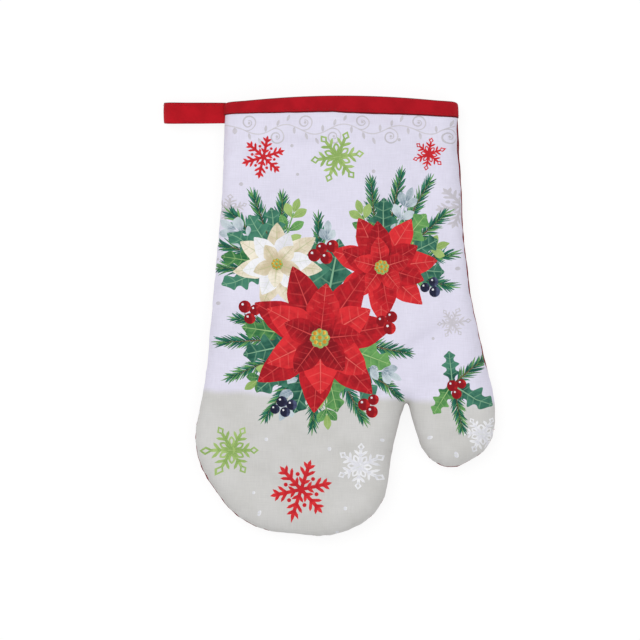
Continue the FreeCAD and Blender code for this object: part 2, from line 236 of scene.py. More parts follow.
class Ink(Enum):
    """The inks of the front panel's print with their finishes, and the ground, which has none."""

    GROUND = None
    RED = InkFinish(srgb(228, 48, 54), srgb(166, 18, 32), srgb(243, 112, 104), 0.05, 0.32)
    CRIMSON = InkFinish(srgb(206, 30, 42), srgb(134, 12, 26), srgb(232, 84, 82), 0.05, 0.3)
    CREAM = InkFinish(srgb(246, 238, 220), srgb(206, 190, 158), srgb(176, 190, 132), 0.05, 0.35)
    HOLLY = InkFinish(srgb(74, 136, 112), srgb(22, 78, 66), srgb(150, 198, 160), 0.07, 0.34)
    FIR = InkFinish(srgb(60, 134, 108), srgb(20, 84, 68))
    LEAF = InkFinish(srgb(112, 170, 96), srgb(36, 104, 62), srgb(176, 212, 140), 0.06, 0.3)
    LIME = InkFinish(srgb(171, 199, 121), srgb(140, 173, 95), srgb(206, 222, 160), 0.04, 0.1)
    BERRY = InkFinish(srgb(226, 46, 46), srgb(142, 14, 26))
    NAVY = InkFinish(srgb(84, 92, 128), srgb(30, 32, 56))
    SILVER = InkFinish(srgb(206, 218, 224), srgb(132, 152, 166), srgb(228, 234, 238), 0.05, 0.2)
    GOLD = InkFinish(srgb(246, 202, 84), srgb(206, 142, 40))
    WHITE = InkFinish(srgb(246, 246, 250), srgb(226, 226, 234), srgb(206, 214, 190), 0.04, 0.3)
    MIST = InkFinish(srgb(210, 206, 214), srgb(200, 196, 204))
    TWIG = InkFinish(srgb(132, 94, 62), srgb(84, 56, 40))
    SCARLET_LINE = InkFinish(srgb(222, 52, 56), srgb(200, 34, 44))


@dataclass(frozen=True)
class Corner:
    """A corner of the mitt's outline.

    Args:
        x: Place across the hand.
        y: Place along the hand.
        rounding: Radius of the arc that rounds it, or 0.
    """

    x: float
    y: float
    rounding: float = 0.0


@dataclass(frozen=True)
class Crown:
    """A gentle swelling of the front face.

    Args:
        rise: Height at its middle.
        x: Its middle across the hand.
        y: Its middle along the hand.
        across: Its reach across the hand.
        down: Its reach towards the fingertips.
        up: Its reach towards the cuff.
    """

    rise: float
    x: float
    y: float
    across: float
    down: float
    up: float

    def height(self, plan: Array) -> Array:
        """Height of the swelling at each plan point.

        Args:
            plan: Points.

        Returns:
            One height per point.
        """
        offset = plan[:, 1] - self.y
        along = offset / np.where(offset > 0, self.up, self.down)
        share = np.minimum(1.0, np.hypot((plan[:, 0] - self.x) / self.across, along))
        return self.rise * np.cos(share * math.pi / 2) ** 2


@dataclass(frozen=True)
class Fold:
    """A soft furrow pressed into the front face.

    Args:
        x: Its middle across the hand.
        y: Its middle along the hand.
        turn: Its direction in degrees from the x axis.
        length: How far it runs each way.
        width: How wide its slope is.
        depth: How deep it is at its middle.
    """

    x: float
    y: float
    turn: float
    length: float
    width: float
    depth: float

    def drop(self, plan: Array) -> Array:
        """Depth of the furrow at each plan point.

        Args:
            plan: Points.

        Returns:
            One depth per point.
        """
        angle = math.radians(self.turn)
        away = plan - np.array((self.x, self.y))
        along = away @ np.array((math.cos(angle), math.sin(angle)))
        across = away @ np.array((-math.sin(angle), math.cos(angle)))
        return self.depth * np.exp(-((across / self.width) ** 2) - (along / self.length) ** 2)


@dataclass
class Edge:
    """Where points lie beside the mitt's outline.

    Args:
        depth: Distance in from the outline.
        foot: Nearest point of the outline.
        inward: Unit direction from the outline into the mitt.
        run: Distance along the outline to the foot.
        bend: How sharply the outline turns at the foot, as 1 over its radius.
    """

    depth: Array
    foot: Array
    inward: Array
    run: Array
    bend: Array


class Outline:
    """The mitt's plan outline: rounded corners, closed across the cuff by a shallow arch.

    STEP is the longest distance between traced points on a rounding, and SHARPEST the sharpest
    bend that counts, as 1 over its radius.
    """

    CORNERS = (
        Corner(-65, 165),
        Corner(-69, 68, 60),
        Corner(-79, -38, 48),
        Corner(-88.5, -89, 50),
        Corner(-55.5, -135.5, 50),
        Corner(2.5, -141, 50),
        Corner(34.5, -125.5, 34),
        Corner(39.5, -85.5, 12),
        Corner(49, -51, 1.8),
        Corner(61, -90, 24),
        Corner(78, -98, 16),
        Corner(103.5, -84, 24),
        Corner(106.5, -59.5, 80),
        Corner(88, 26, 300),
        Corner(79.5, 165),
    )
    ARCH_MIDDLE = 8.5
    ARCH_RADIUS = 665.0
    CUFF_END = 139.3
    STEP = 1.2
    FEWEST_STEPS = 8
    SHARPEST = 0.1

    def __init__(self) -> None:
        """Trace the outline."""
        self.line = self._trace()
        self.arch_centre = np.array((self.ARCH_MIDDLE, self.CUFF_END - self.ARCH_RADIUS))
        self.runs = runs_along(self.line)
        self.bends = self._bends()

    def _trace(self) -> Array:
        """Trace the corners and their roundings, anticlockwise from the cuff's left.

        Returns:
            The points in order.
        """
        places = [np.array((c.x, c.y), float) for c in self.CORNERS]
        traced = [places[0]]
        for before, corner, place, after in zip(places, self.CORNERS[1:-1], places[1:], places[2:]):
            towards, away = unit(place - before), unit(after - place)
            turn = math.atan2(towards[0] * away[1] - towards[1] * away[0], towards @ away)
            start = place - towards * corner.rounding * math.tan(abs(turn) / 2)
            side = np.array((-towards[1], towards[0])) * math.copysign(corner.rounding, turn)
            count = max(self.FEWEST_STEPS, math.ceil(abs(turn) * corner.rounding / self.STEP))
            for part in np.linspace(0, turn, count + 1):
                cos, sin = math.cos(part), math.sin(part)
                traced.append(start + side - np.array(((cos, -sin), (sin, cos))) @ side)
        traced.append(places[-1])
        return np.array(traced)

    def _bends(self) -> Array:
        """How sharply each traced piece of the outline turns."""
        ahead = np.diff(self.line, axis=0)
        facing = np.unwrap(np.arctan2(ahead[:, 1], ahead[:, 0]))
        turns = np.abs(np.gradient(facing)) / np.maximum(np.linalg.norm(ahead, axis=1), 0.3)
        return np.minimum(turns, self.SHARPEST)

    def edge(self, plan: Array) -> Edge:
        """Place points beside the outline's sides.

        Args:
            plan: Points.

        Returns:
            Where each one lies.
        """
        start, step = self.line[:-1], np.diff(self.line, axis=0)
        squared = (step**2).sum(axis=1)
        parts = []
        for block in np.array_split(plan, max(1, len(plan) // 2000)):
            share = ((block[:, None] - start[None]) * step[None]).sum(axis=2) / squared
            feet = start[None] + np.clip(share, 0, 1)[..., None] * step[None]
            gap = np.linalg.norm(block[:, None] - feet, axis=2)
            piece = gap.argmin(axis=1)
            rows = np.arange(len(block))
            parts.append((gap[rows, piece], feet[rows, piece], piece))
        depth, foot, piece = (np.concatenate(column) for column in zip(*parts))
        ahead = step[piece] / np.sqrt(squared[piece])[:, None]
        side = np.stack((-ahead[:, 1], ahead[:, 0]), axis=1)
        far = depth > 0.05
        inward = np.where(far[:, None], (plan - foot) / np.maximum(depth, 1e-9)[:, None], side)
        run = self.runs[piece] + np.linalg.norm(foot - start[piece], axis=1)
        return Edge(depth, foot, inward, run, self.bends[piece])

    def below_cuff(self, plan: Array) -> Array:
        """Distance of each point below the cuff's arched edge."""
        return self.ARCH_RADIUS - np.linalg.norm(plan - self.arch_centre, axis=1)

    def loop(self, step: float) -> Array:
        """The whole edge of a face, sides and cuff, anticlockwise.

        Args:
            step: Distance between points.

        Returns:
            The points in order.
        """
        even = np.arange(0, self.runs[-1], step)
        fine = np.union1d(even, self.runs[1:-1][self.bends[1:] > 0.05])
        sides = on_line(fine, self.runs, self.line)
        inside = np.flatnonzero(self.below_cuff(sides) > 0.4 * step)
        sides = sides[inside[0] : inside[-1] + 1]
        left, right = self.cuff_corner(-1), self.cuff_corner(1)
        count = math.ceil((right[0] - left[0]) / step)
        across = np.linspace(right[0], left[0], count + 1)
        return np.concatenate((sides, self.on_arch(across, 0.0)))

    def on_arch(self, across: Array, below: float) -> Array:
        """The points with a given x on the cuff's arch, or on one that lies below it."""
        rise = np.sqrt((self.ARCH_RADIUS - below) ** 2 - (across - self.ARCH_MIDDLE) ** 2)
        return np.stack((across, self.arch_centre[1] + rise), axis=1)

    def cuff_corner(self, side: int, below: float = 0.0) -> Array:
        """Where the cuff's arch, or one below it, meets a side of the outline.

        Args:
            side: -1 for the left side and 1 for the right.
            below: How far below the cuff's edge the arch lies.

        Returns:
            The point as x and y.
        """
        half = self.line[: len(self.line) // 2] if side < 0 else self.line[len(self.line) // 2 :]
        half = half[np.argsort(half[:, 1])]
        x = float(half[-1, 0])
        for _ in range(6):
            y = self.on_arch(np.array([x]), below)[0, 1]
            x = float(np.interp(y, half[:, 1], half[:, 0]))
        return np.array((x, y))


@dataclass
class Rim:
    """How a face curves from the seam over its rim.

    Args:
        reach: How far in from the edge the curve runs.
        groove: How far in from the edge the seam lies.
        waist: Height of the widest place above the seam, as a share of the whole height.
        start: Share of the curve that lies between the seam and the widest place.
    """

    reach: float
    groove: float
    waist: float
    start: float = 0.14


@dataclass
class PaddedForm:
    """The shape that the mitt's padded wall takes.

    A point is given by where it lies on the flat outline. Its distance from the outline becomes a
    distance along the rim's curve, and the rest of the face is domed.

    Args:
        outline: The plan outline.
        seam_height: Height of the seam above the table.
        rim_height: Height of the front's rim above the seam.
        cuff_lift: How far the underside rises where the binding lies under it.
        lift_fades: Between which distances below the cuff's edge that rise fades out.
        pinch: The wall's thickness at the seam, as a share of its full thickness.
        cuff_pinch: The same at the bound cuff.
        binding_dip: How deep the front dips beside the tape that binds the cuff.
        dip_place: How far below the cuff's edge the dip is deepest, and its reach.
        right_shows: How much of the back shows beside the front at the right edge.
        crotch_reach: How far the front reaches out at the thumb's crotch.
        finger_shows: How much of the back shows beside the fingertips at the left.
        flattened: How thick the back's wall stays where it lies on the table, as a share.
        inner_rise: How far the tape inside the wall is raised above it there, as a share.
        pucker: How far the seam gathers the cloth.
        crowns: The swellings of the front.
        folds: The furrows of the front.
        shifts: How each face moves when the padding fills it, once that is known.
    """

    outline: Outline
    seam_height: float = 7.0
    rim_height: float = 10.0
    cuff_lift: float = 0.8
    lift_fades: tuple[float, float] = (10, 42)
    pinch: float = 0.55
    cuff_pinch: float = 0.66
    binding_dip: float = 1.1
    dip_place: tuple[float, float] = (10, 9)
    right_shows: float = 1.2
    crotch_reach: float = 0.5
    finger_shows: float = 0.35
    flattened: float = 0.95
    inner_rise: float = 1.3
    pucker: float = 0.42
    crowns: tuple[Crown, ...] = (
        Crown(10.5, 0, -10, 100, 175, 230),
        Crown(5.0, 80, -58, 38, 64, 76),
        Crown(5.5, 8.5, 150, 90, 90, 90),
    )
    folds: tuple[Fold, ...] = (
        Fold(-50, 86, 112, 26, 8.0, 1.3),
        Fold(-58, 42, 78, 26, 8.0, 1.1),
        Fold(62, 88, 68, 26, 8.0, 1.2),
        Fold(74, 34, 98, 28, 8.0, 1.1),
        Fold(58, -18, 40, 22, 8.0, 1.4),
        Fold(24, -62, 125, 22, 8.0, 0.9),
        Fold(-52, -60, 62, 24, 8.0, 0.9),
        Fold(-12, 108, 6, 34, 9.0, 0.8),
    )
    shifts: dict[Face, "Settling"] = field(default_factory=dict)

    RIMS = {
        Face.FRONT: Rim(reach=11.5, groove=1.3, waist=0.15),
        Face.BACK: Rim(reach=9.0, groove=1.3, waist=0.24),
    }

    def heights(self, face: Face, plan: Array) -> Array:
        """Full height of a face above or below the seam at each point.

        Args:
            face: Which face.
            plan: Points.

        Returns:
            One height per point, always positive.
        """
        below = self.outline.below_cuff(plan)
        if face is Face.BACK:
            return self.seam_height - self.cuff_lift * (1 - smooth(*self.lift_fades, below))
        risen = self.rim_height + sum(crown.height(plan) for crown in self.crowns)
        risen -= sum(fold.drop(plan) for fold in self.folds)
        return risen - self.binding_dip * bell(below, *self.dip_place)

    def peek(self, foot: Array) -> Array:
        """How far the front's rim sits back, so that the back panel shows beside it.

        Args:
            foot: Points of the outline.

        Returns:
            One distance per point, below 0 where the front reaches out instead.
        """
        x, y = foot.T
        right = self.right_shows * (smooth(40, 60, x) * smooth(-44, -20, y))
        crotch = self.crotch_reach * np.exp(-(((x - 55) / 8) ** 2) - ((y + 66) / 12) ** 2)
        fingers = self.finger_shows * smooth(-70, -95, y) * smooth(-20, -60, x)
        return right * (1 - smooth(117, 128, y)) + fingers - crotch

    def place(
        self,
        face: Face,
        plan: Array,
        depth: float = 0.0,
        proud: float = 0.0,
        groove: bool = True,
    ) -> Array:
        """Place flat points on a face, or inside its wall.

        Args:
            face: Which face.
            plan: Points on the flat outline.
            depth: How deep in the wall where it is at its full thickness.
            proud: How far out from there.
            groove: Whether the seam's groove is followed, or bridged.

        Returns:
            The placed points.
        """
        edge, rim = self.outline.edge(plan), self.RIMS[face]
        share = np.clip(edge.depth / rim.reach, 0, 1)
        lower = share < rim.start
        quarter = np.where(
            lower,
            -(1 - share / rim.start) * (math.pi / 2 if groove else 0.0),
            (share - rim.start) / (1 - rim.start) * math.pi / 2,
        )
        cos, sin = np.cos(quarter), np.sin(quarter)
        back_off = self.peek(edge.foot) if face is Face.FRONT else np.zeros(len(plan))
        groove_left = rim.groove * (1 - depth / Depth.LINING_INSIDE)
        span = np.where(lower, groove_left, rim.reach) - back_off
        inset = back_off + span * (1 - cos)
        inner = edge.depth >= rim.reach
        moved = np.where(inner[:, None], plan, edge.foot + edge.inward * inset[:, None])
        full = self.heights(face, moved)
        height = full * np.where(lower, rim.waist * (1 + sin), rim.waist + (1 - rim.waist) * sin)
        below = self.outline.below_cuff(plan)
        thick = self.pinch + (1 - self.pinch) * smooth(0, 1.1, share)
        thick *= 1 - (1 - self.cuff_pinch) * (1 - smooth(2, 14, below))
        sunk = depth * thick - proud - self._puckers(face, edge, share)
        sideways, down = np.where(lower, 1.0, cos), np.where(lower, 0.0, sin)
        flat = moved + edge.inward * (sunk * sideways)[:, None]
        z = self.seam_height + face.value * (height - sunk * down)
        placed = np.column_stack((flat, z))
        if face in self.shifts:
            placed += self.shifts[face].at(plan)
        if face is Face.BACK:
            least = (self.flattened * depth - self.inner_rise * min(proud, 0.0)) * thick
            placed[:, 2] = np.maximum(placed[:, 2], least)
        return placed

    def on_cloth(self, face: Face, plan: Array) -> Array:
        """Where flat points lie on the cloth itself, which is longer over the rim.

        Args:
            face: Which face.
            plan: Points on the flat outline.

        Returns:
            The points on the cloth.
        """
        edge, rim = self.outline.edge(plan), self.RIMS[face]
        high = self.rim_height if face is Face.FRONT else self.seam_height
        length = math.pi / 2 * math.hypot(rim.reach, high) / math.sqrt(2) + 2.0
        left = np.clip(1 - edge.depth / rim.reach, 0, 1)
        inset = rim.reach - length * left
        inner = edge.depth >= rim.reach
        return np.where(inner[:, None], plan, edge.foot + edge.inward * inset[:, None])

    def _puckers(self, face: Face, edge: Edge, share: Array) -> Array:
        """How far the cloth is gathered proud by the seam's stitches.

        Args:
            face: Which face.
            edge: Where the points lie beside the outline.
            share: How far over the rim's curve each one lies.

        Returns:
            One height per point.
        """
        curved = 0.25 + 0.75 * smooth(0.004, 0.02, edge.bend)
        fade = np.sin(np.clip(share * 1.15, 0, 1) * math.pi) ** 1.3 * np.exp(-1.2 * share)
        phase = 0.7 if face is Face.FRONT else 2.1
        slow, fast, slow_drift, fast_drift = 0.62, 0.97, 0.071, 0.113
        wave = np.sin(edge.run * slow + phase + 1.3 * np.sin(edge.run * slow_drift))
        wave += 0.6 * np.sin(edge.run * fast + 2.0 * phase + np.sin(edge.run * fast_drift))
        quiet = smooth(9, 22, self.outline.below_cuff(edge.foot))
        return self.pucker * wave * fade * curved * quiet


@dataclass
class Settling:
    """How cloth moves when the padding fills it, carried from a coarse net to any point.

    Args:
        plan: The net's flat points.
        moves: How far each one moves.
        spread: How far a net point's move is felt.
    """

    plan: Array
    moves: Array
    spread: float

    def __post_init__(self) -> None:
        """Make the net's points quick to find."""
        self.tree = search_tree(self.plan)

    def at(self, plan: Array) -> Array:
        """The move at each point.

        Args:
            plan: Flat points.

        Returns:
            One move per point.
        """
        moves = np.zeros((len(plan), 3))
        for row, (x, y) in enumerate(plan):
            near = self.tree.find_n((x, y, 0.0), 7)
            weights = np.array([math.exp(-((gap / self.spread) ** 2)) for _, _, gap in near])
            if weights.sum() > 1e-12:
                moves[row] = weights @ self.moves[[index for _, index, _ in near]] / weights.sum()
        return moves


@dataclass(frozen=True)
class Patch:
    """One printed shape of the front panel's design.

    Args:
        ink: The ink it is printed in.
        edge: Its edge.
        foot: Where its painting starts.
        reach: Where its painting runs to, from its foot.
        half_width: How wide its painting is to each side.
        tone: A share from 0 to 1 that makes it lighter or darker than others.
    """

    ink: Ink
    edge: Array
    foot: Array
    reach: Array
    half_width: float
    tone: float

    def local(self, plan: Array) -> Array:
        """Turn flat points into the shape's own coordinates.

        Args:
            plan: Points.

        Returns:
            Rows of the share along the shape and the share across it, from -1 to 1.
        """
        away = plan - self.foot
        long = self.reach @ self.reach
        side = np.array((-self.reach[1], self.reach[0])) / math.sqrt(long)
        return np.column_stack((away @ self.reach / long, away @ side / self.half_width))


@dataclass(frozen=True)
class Pen:
    """Draws shapes about a place, with a turn and a scale.

    Args:
        design: The design that it adds to.
        x: Its place across the hand.
        y: Its place along the hand.
        turn: Its direction in degrees.
        scale: Its scale.
    """

    design: "WinterPrint"
    x: float
    y: float
    turn: float = 0
    scale: float = 1

    def moved(self, x: float, y: float, turn: float = 0, scale: float = 1) -> "Pen":
        """A pen placed, turned and scaled from this one."""
        place = self.to_cloth(np.array([[x, y]], float))[0]
        return Pen(self.design, *place, self.turn + turn, self.scale * scale)

    def to_cloth(self, points: Array) -> Array:
        """The cloth's points for points of the pen's own."""
        cos, sin = math.cos(math.radians(self.turn)), math.sin(math.radians(self.turn))
        turned = self.scale * points @ np.array(((cos, sin), (-sin, cos)))
        return np.array((self.x, self.y)) + turned

    def shape(self, ink: Ink, points: Sequence[Sequence[float]], axis: Sequence[float]) -> None:
        """Add a closed shape.

        Args:
            ink: Its ink.
            points: Its edge in the pen's own mm.
            axis: Where its painting starts and ends along x, and how wide it is to each side.
        """
        start, end, half_width = axis
        ends = self.to_cloth(np.array(((start, 0), (end, 0)), float))
        edge = self.to_cloth(np.array(points, float))
        tone = self.design.chance.random()
        half = half_width * self.scale
        self.design.patches.append(Patch(ink, edge, ends[0], ends[1] - ends[0], half, tone))

    def blade(
        self,
        ink: Ink,
        length: float,
        half_width: float,
        belly: float = 0.45,
        ripple: float = 0.0,
        count: int = 22,
    ) -> None:
        """Add a pointed leaf or petal that grows along x.

        Args:
            ink: Its ink.
            length: Its length.
            half_width: Its greatest width to each side.
            belly: Where it is widest, as a share of its length.
            ripple: How wavy its edge is.
            count: Points along each side.
        """
        along = (1 - np.cos(np.linspace(0, math.pi, count))) / 2
        power = math.log(0.5) / math.log(belly)
        wide = np.sin(math.pi * along**power) ** 0.85 * half_width
        sides = []
        for side, waves in ((1, 19), (-1, 17)):
            wave = 1 + ripple * np.sin(along * waves + self.design.chance.random() * 6)
            sides.append(np.column_stack((along * length, side * wide * wave)))
        edge = np.concatenate((sides[0], sides[1][-2:0:-1]))
        self.shape(ink, edge, (0, length, half_width))

    def bar(self, ink: Ink, x: float, y: float, turn: float, length: float, width: float) -> None:
        """Add a straight stroke with a tapered end.

        Args:
            ink: Its ink.
            x: Where it starts along the pen's x.
            y: Where it starts along the pen's y.
            turn: Its direction in degrees.
            length: Its length.
            width: Its width.
        """
        half = width / 2
        edge = [(-half, -half), (length - half, -half), (length + half, 0), (length - half, half)]
        self.moved(x, y, turn).shape(ink, [*edge, (-half, half)], (0, length, half))

    def diamond(self, ink: Ink, x: float, length: float, width: float) -> None:
        """Add a lozenge along the pen's x."""
        middle, half = x + length / 2, width / 2
        edge = [(x, 0), (middle, -half), (x + length, 0), (middle, half)]
        self.shape(ink, edge, (x, x + length, half))

    def disc(self, ink: Ink, x: float, y: float, radius: float, count: int = 22) -> None:
        """Add a round dot."""
        turns = np.linspace(0, 2 * math.pi, count, endpoint=False)
        ring = np.column_stack((np.cos(turns), np.sin(turns))) * radius
        self.moved(x, y).shape(ink, ring, (0, radius, radius))

    def ribbon(self, ink: Ink, path: Array, widths: Array) -> None:
        """Add a stroke of changing width along a path.

        Args:
            ink: Its ink.
            path: The middle of the stroke.
            widths: Its width at each point.
        """
        ahead = unit(np.gradient(path, axis=0))
        side = np.column_stack((-ahead[:, 1], ahead[:, 0])) * widths[:, None] / 2
        self.shape(ink, np.concatenate((path + side, (path - side)[::-1])), (0, 10, 10))


@dataclass(frozen=True)
class Bloom:
    """A poinsettia of the design, with the greenery that grows out from behind it.

    Args:
        x: Its middle across the hand.
        y: Its middle along the hand.
        radius: Its reach.
        turn: How far it is turned, in degrees.
        inks: The inks of its outer and inner bracts.
        twigs: Direction in degrees and length in mm of each fir twig.
        hollies: The same of each holly leaf.
        sprigs: Direction of each sprig, how many pairs of leaves it has, and its inks.
    """

    x: float
    y: float
    radius: float
    turn: float
    inks: tuple[Ink, Ink]
    twigs: tuple[tuple[float, float], ...]
    hollies: tuple[tuple[float, float], ...]
    sprigs: tuple[tuple[float, int, tuple[Ink, Ink]], ...]

    def pen(self, design: "WinterPrint", turn: float) -> Pen:
        """A pen that starts under the bracts and faces outwards."""
        return Pen(design, self.x, self.y, turn).moved(0.3 * self.radius, 0)


SILVERY = (Ink.SILVER, Ink.SILVER)
FRESH = (Ink.LEAF, Ink.LIME)

BLOOMS = (
    Bloom(
        -33, 33, 28, 40, (Ink.CREAM, Ink.WHITE),
        twigs=((84, 34), (108, 38), (132, 34), (158, 26), (184, 25)),
        hollies=((96, 28), (120, 28), (146, 27), (172, 25), (202, 27)),
        sprigs=((140, 3, SILVERY), (72, 3, FRESH)),
    ),
    Bloom(
        33, 31, 35, 12, (Ink.RED, Ink.CRIMSON),
        twigs=((-16, 34), (12, 34), (38, 42), (60, 52), (79, 50), (98, 44)),
        hollies=((-4, 30), (26, 30), (50, 34), (88, 34)),
        sprigs=((69, 4, SILVERY), (110, 3, FRESH), (20, 3, FRESH)),
    ),
    Bloom(
        -6, -14, 47, 4, (Ink.CRIMSON, Ink.RED),
        twigs=(
            (90, 62), (166, 40), (182, 46), (204, 48), (236, 46),
            (266, 42), (298, 44), (326, 46), (352, 42),
        ),
        hollies=(
            (79, 50), (100, 50), (172, 36), (192, 36), (220, 38),
            (251, 36), (283, 34), (312, 38), (340, 34),
        ),
        sprigs=(
            (86, 6, SILVERY), (214, 4, FRESH), (244, 4, SILVERY), (275, 4, FRESH), (333, 4, SILVERY),
        ),
    ),
)


class WinterPrint:
    """The front panel's printed design, laid out on the flat outline.

    SEED starts the sequence that varies its shapes, and FLAKE is the reach that the snowflakes'
    arms are written for.
    """

    SEED = 11
    FLAKE = 16.0

    def __init__(self) -> None:
        """Lay out the design."""
        self.chance = random.Random(self.SEED)
        self.patches: list[Patch] = []
        self._scrolls()
        self._snow()
        self._greenery()
        self._flowers()
        self._thumb()

    def _scrolls(self) -> None:
        """Faint scrollwork under the cuff's tape: a waving stem with curls and small leaves."""
        wave, height, middle = 36.0, 3.0, 118.5
        page = Pen(self, 0, 0)
        along = np.linspace(-64, 78, 130)
        stem = np.column_stack((along, middle + height * np.sin(2 * math.pi * along / wave)))
        page.ribbon(Ink.MIST, stem, np.full(len(along), 0.75))
        for index, x in enumerate(np.arange(-54, 74, wave / 2)):
            side = 1 if index % 2 == 0 else -1
            heading = -side * math.atan(2 * math.pi * height / wave)
            start = Pen(self, x, middle, math.degrees(heading))
            turns = np.linspace(0, 3.3 * math.pi, 46)
            size = 5.4 * (1 - turns / (3.9 * math.pi)) ** 0.9
            curl = np.column_stack((np.sin(turns) * size, side * (5.4 - np.cos(turns) * size)))
            start.ribbon(Ink.MIST, curl, 0.4 + 0.55 * np.sin(np.linspace(0.3, math.pi, 46)))
            start.disc(Ink.MIST, 0.4, side * 5.3, 0.9, 10)
            for at, lean in ((-4.5, -62), (3.5, -48), (10.5, -40)):
                start.moved(at, -side * 0.4, side * lean).blade(Ink.MIST, 4.6, 1.0, 0.5, count=7)

    def _snow(self) -> None:
        """The snowflakes, in four inks, and loose specks of snow."""
        fern, star = self.fern_flake, self.star_flake
        for flake, x, y, turn, ink, radius in (
            (fern, -42, 101, 17, Ink.SCARLET_LINE, 14),
            (star, 5, 101, 8, Ink.LIME, 17),
            (star, 63, 103, 20, Ink.SCARLET_LINE, 10.5),
            (fern, 82, 70, 10, Ink.MIST, 15),
            (star, -62, 68, 21, Ink.MIST, 10),
            (star, 78, -4, 5, Ink.MIST, 10),
            (fern, -18, -110, 12, Ink.SCARLET_LINE, 20),
            (star, -62, -85, 0, Ink.LIME, 17),
            (star, 19, -95, 26, Ink.WHITE, 15),
            (star, 95, -74, 0, Ink.WHITE, 11),
        ):
            flake(Pen(self, x, y, turn), ink, radius)
        mist = (
            (-20, 90, 1.0), (28, 92, 1.2), (-68, 36, 1.0), (80, 30, 1.2), (-56, 84, 1.2),
            (44, 112, 1.0), (-24, 108, 1.1), (-68, 8, 1.2), (66, -14, 1.0),
        )
        white = (
            (-40, -78, 1.2), (-48, -112, 1.0), (0, -84, 1.3), (-44, -124, 1.1), (32, -78, 1.0),
            (10, -122, 1.2), (-80, -62, 1.0), (66, -76, 1.1), (4, -134, 1.1), (80, -86, 1.2),
        )
        for ink, specks in ((Ink.MIST, mist), (Ink.WHITE, white)):
            for x, y, size in specks:
                Pen(self, x, y).disc(ink, 0, 0, size, 12)

    def star_flake(self, pen: Pen, ink: Ink, radius: float) -> None:
        """Add a snowflake with lozenge tips and paired branches.

        Args:
            pen: Where it goes.
            ink: Its ink.
            radius: Its reach.
        """
        size = radius / self.FLAKE
        for turn in range(0, 360, 60):
            arm = pen.moved(0, 0, turn, size)
            arm.bar(ink, 2.4, 0, 0, 9.4, 1.9)
            arm.diamond(ink, 10.4, 5.8, 4.8)
            arm.diamond(Ink.GROUND, 11.9, 2.8, 2.2)
            for side in (-1, 1):
                arm.bar(ink, 7.2, 0, 52 * side, 5.0, 1.7)
            petal = arm.moved(0, 0, 30).moved(1.0, 0)
            petal.blade(ink, 7.4, 2.1, 0.6, count=9)
            petal.moved(2.4, 0).blade(Ink.GROUND, 3.6, 0.85, 0.6, count=7)
        pen.disc(ink, 0, 0, 2.4 * size, 6)

    def fern_flake(self, pen: Pen, ink: Ink, radius: float) -> None:
        """Add a snowflake whose arms branch like a fern.

        Args:
            pen: Where it goes.
            ink: Its ink.
            radius: Its reach.
        """
        size = radius / self.FLAKE
        for turn in range(0, 360, 60):
            arm = pen.moved(0, 0, turn, size)
            arm.bar(ink, 0, 0, 0, 15.2, 1.9)
            for at, length in ((3.4, 3.4), (7.6, 4.8), (11.4, 3.4)):
                for side in (-1, 1):
                    arm.bar(ink, at, 0, 48 * side, length, 1.6)
            arm.moved(0, 0, 30).disc(ink, 8.2, 0, 1.1, 8)

    def fir_twig(self, pen: Pen, length: float, reach: float = 9.0) -> None:
        """Add a fir twig that grows along the pen's x.

        Args:
            pen: Where it starts.
            length: Its length.
            reach: The length of its needles.
        """
        bow = self.chance.uniform(-0.05, 0.05)
        spine = [(s, bow * s * s / length) for s in np.linspace(0, length, 9)]
        pen.ribbon(Ink.TWIG, np.array(spine), np.linspace(1.5, 0.6, 9))
        count = int(length / 1.05)
        for index in range(count):
            at = 2 + (length - 2) * index / count
            fade = 0.55 + 0.45 * math.sin(math.pi * min(1.0, 0.25 + 0.62 * at / length))
            for side in (-1, 1):
                lean = side * (50 - 26 * at / length + self.chance.uniform(-9, 9))
                needle = pen.moved(at, bow * at * at / length, lean)
                ink = Ink.FIR if self.chance.random() < 0.68 else Ink.LEAF
                size = reach * fade * self.chance.uniform(0.8, 1.12)
                needle.blade(ink, size, 0.52, 0.4, count=5)
        pen.moved(length - 1, bow * length).blade(Ink.LEAF, reach * 0.8, 0.55, 0.4, count=5)

    def holly(self, pen: Pen, length: float, ink: Ink = Ink.HOLLY) -> None:
        """Add a spiked holly leaf that grows along the pen's x.

        Args:
            pen: Where it starts.
            length: Its length.
            ink: Its ink.
        """
        half = length * 0.27
        along = np.linspace(0, 1, 49)
        belly = np.sin(math.pi * along**0.92) ** 0.55
        spikes = np.abs(np.cos(math.pi * (along * 3.5))) ** 3.2
        wide = half * belly * (0.5 + 0.55 * spikes) + 0.12
        top = np.column_stack((along * length, wide))
        low = np.column_stack((along * length, -wide))[::-1]
        pen.shape(ink, np.concatenate((top, low[1:-1])), (0, length, half))

    def berries(self, x: float, y: float, radius: float, ink: Ink, *offsets: Sequence[float]) -> None:
        """Add round berries, each with a small shine.

        Args:
            x: Place of the first one across the hand.
            y: Its place along the hand.
            radius: Their radius.
            ink: Their ink.
            offsets: The x and y of each further one from the first.
        """
        bunch = Pen(self, x, y)
        for offset in ((0, 0), *offsets):
            size = radius * self.chance.uniform(0.88, 1.1)
            berry = bunch.moved(*offset)
            berry.disc(ink, 0, 0, size)
            berry.disc(Ink.WHITE, -0.36 * size, 0.38 * size, 0.2 * size, 10)

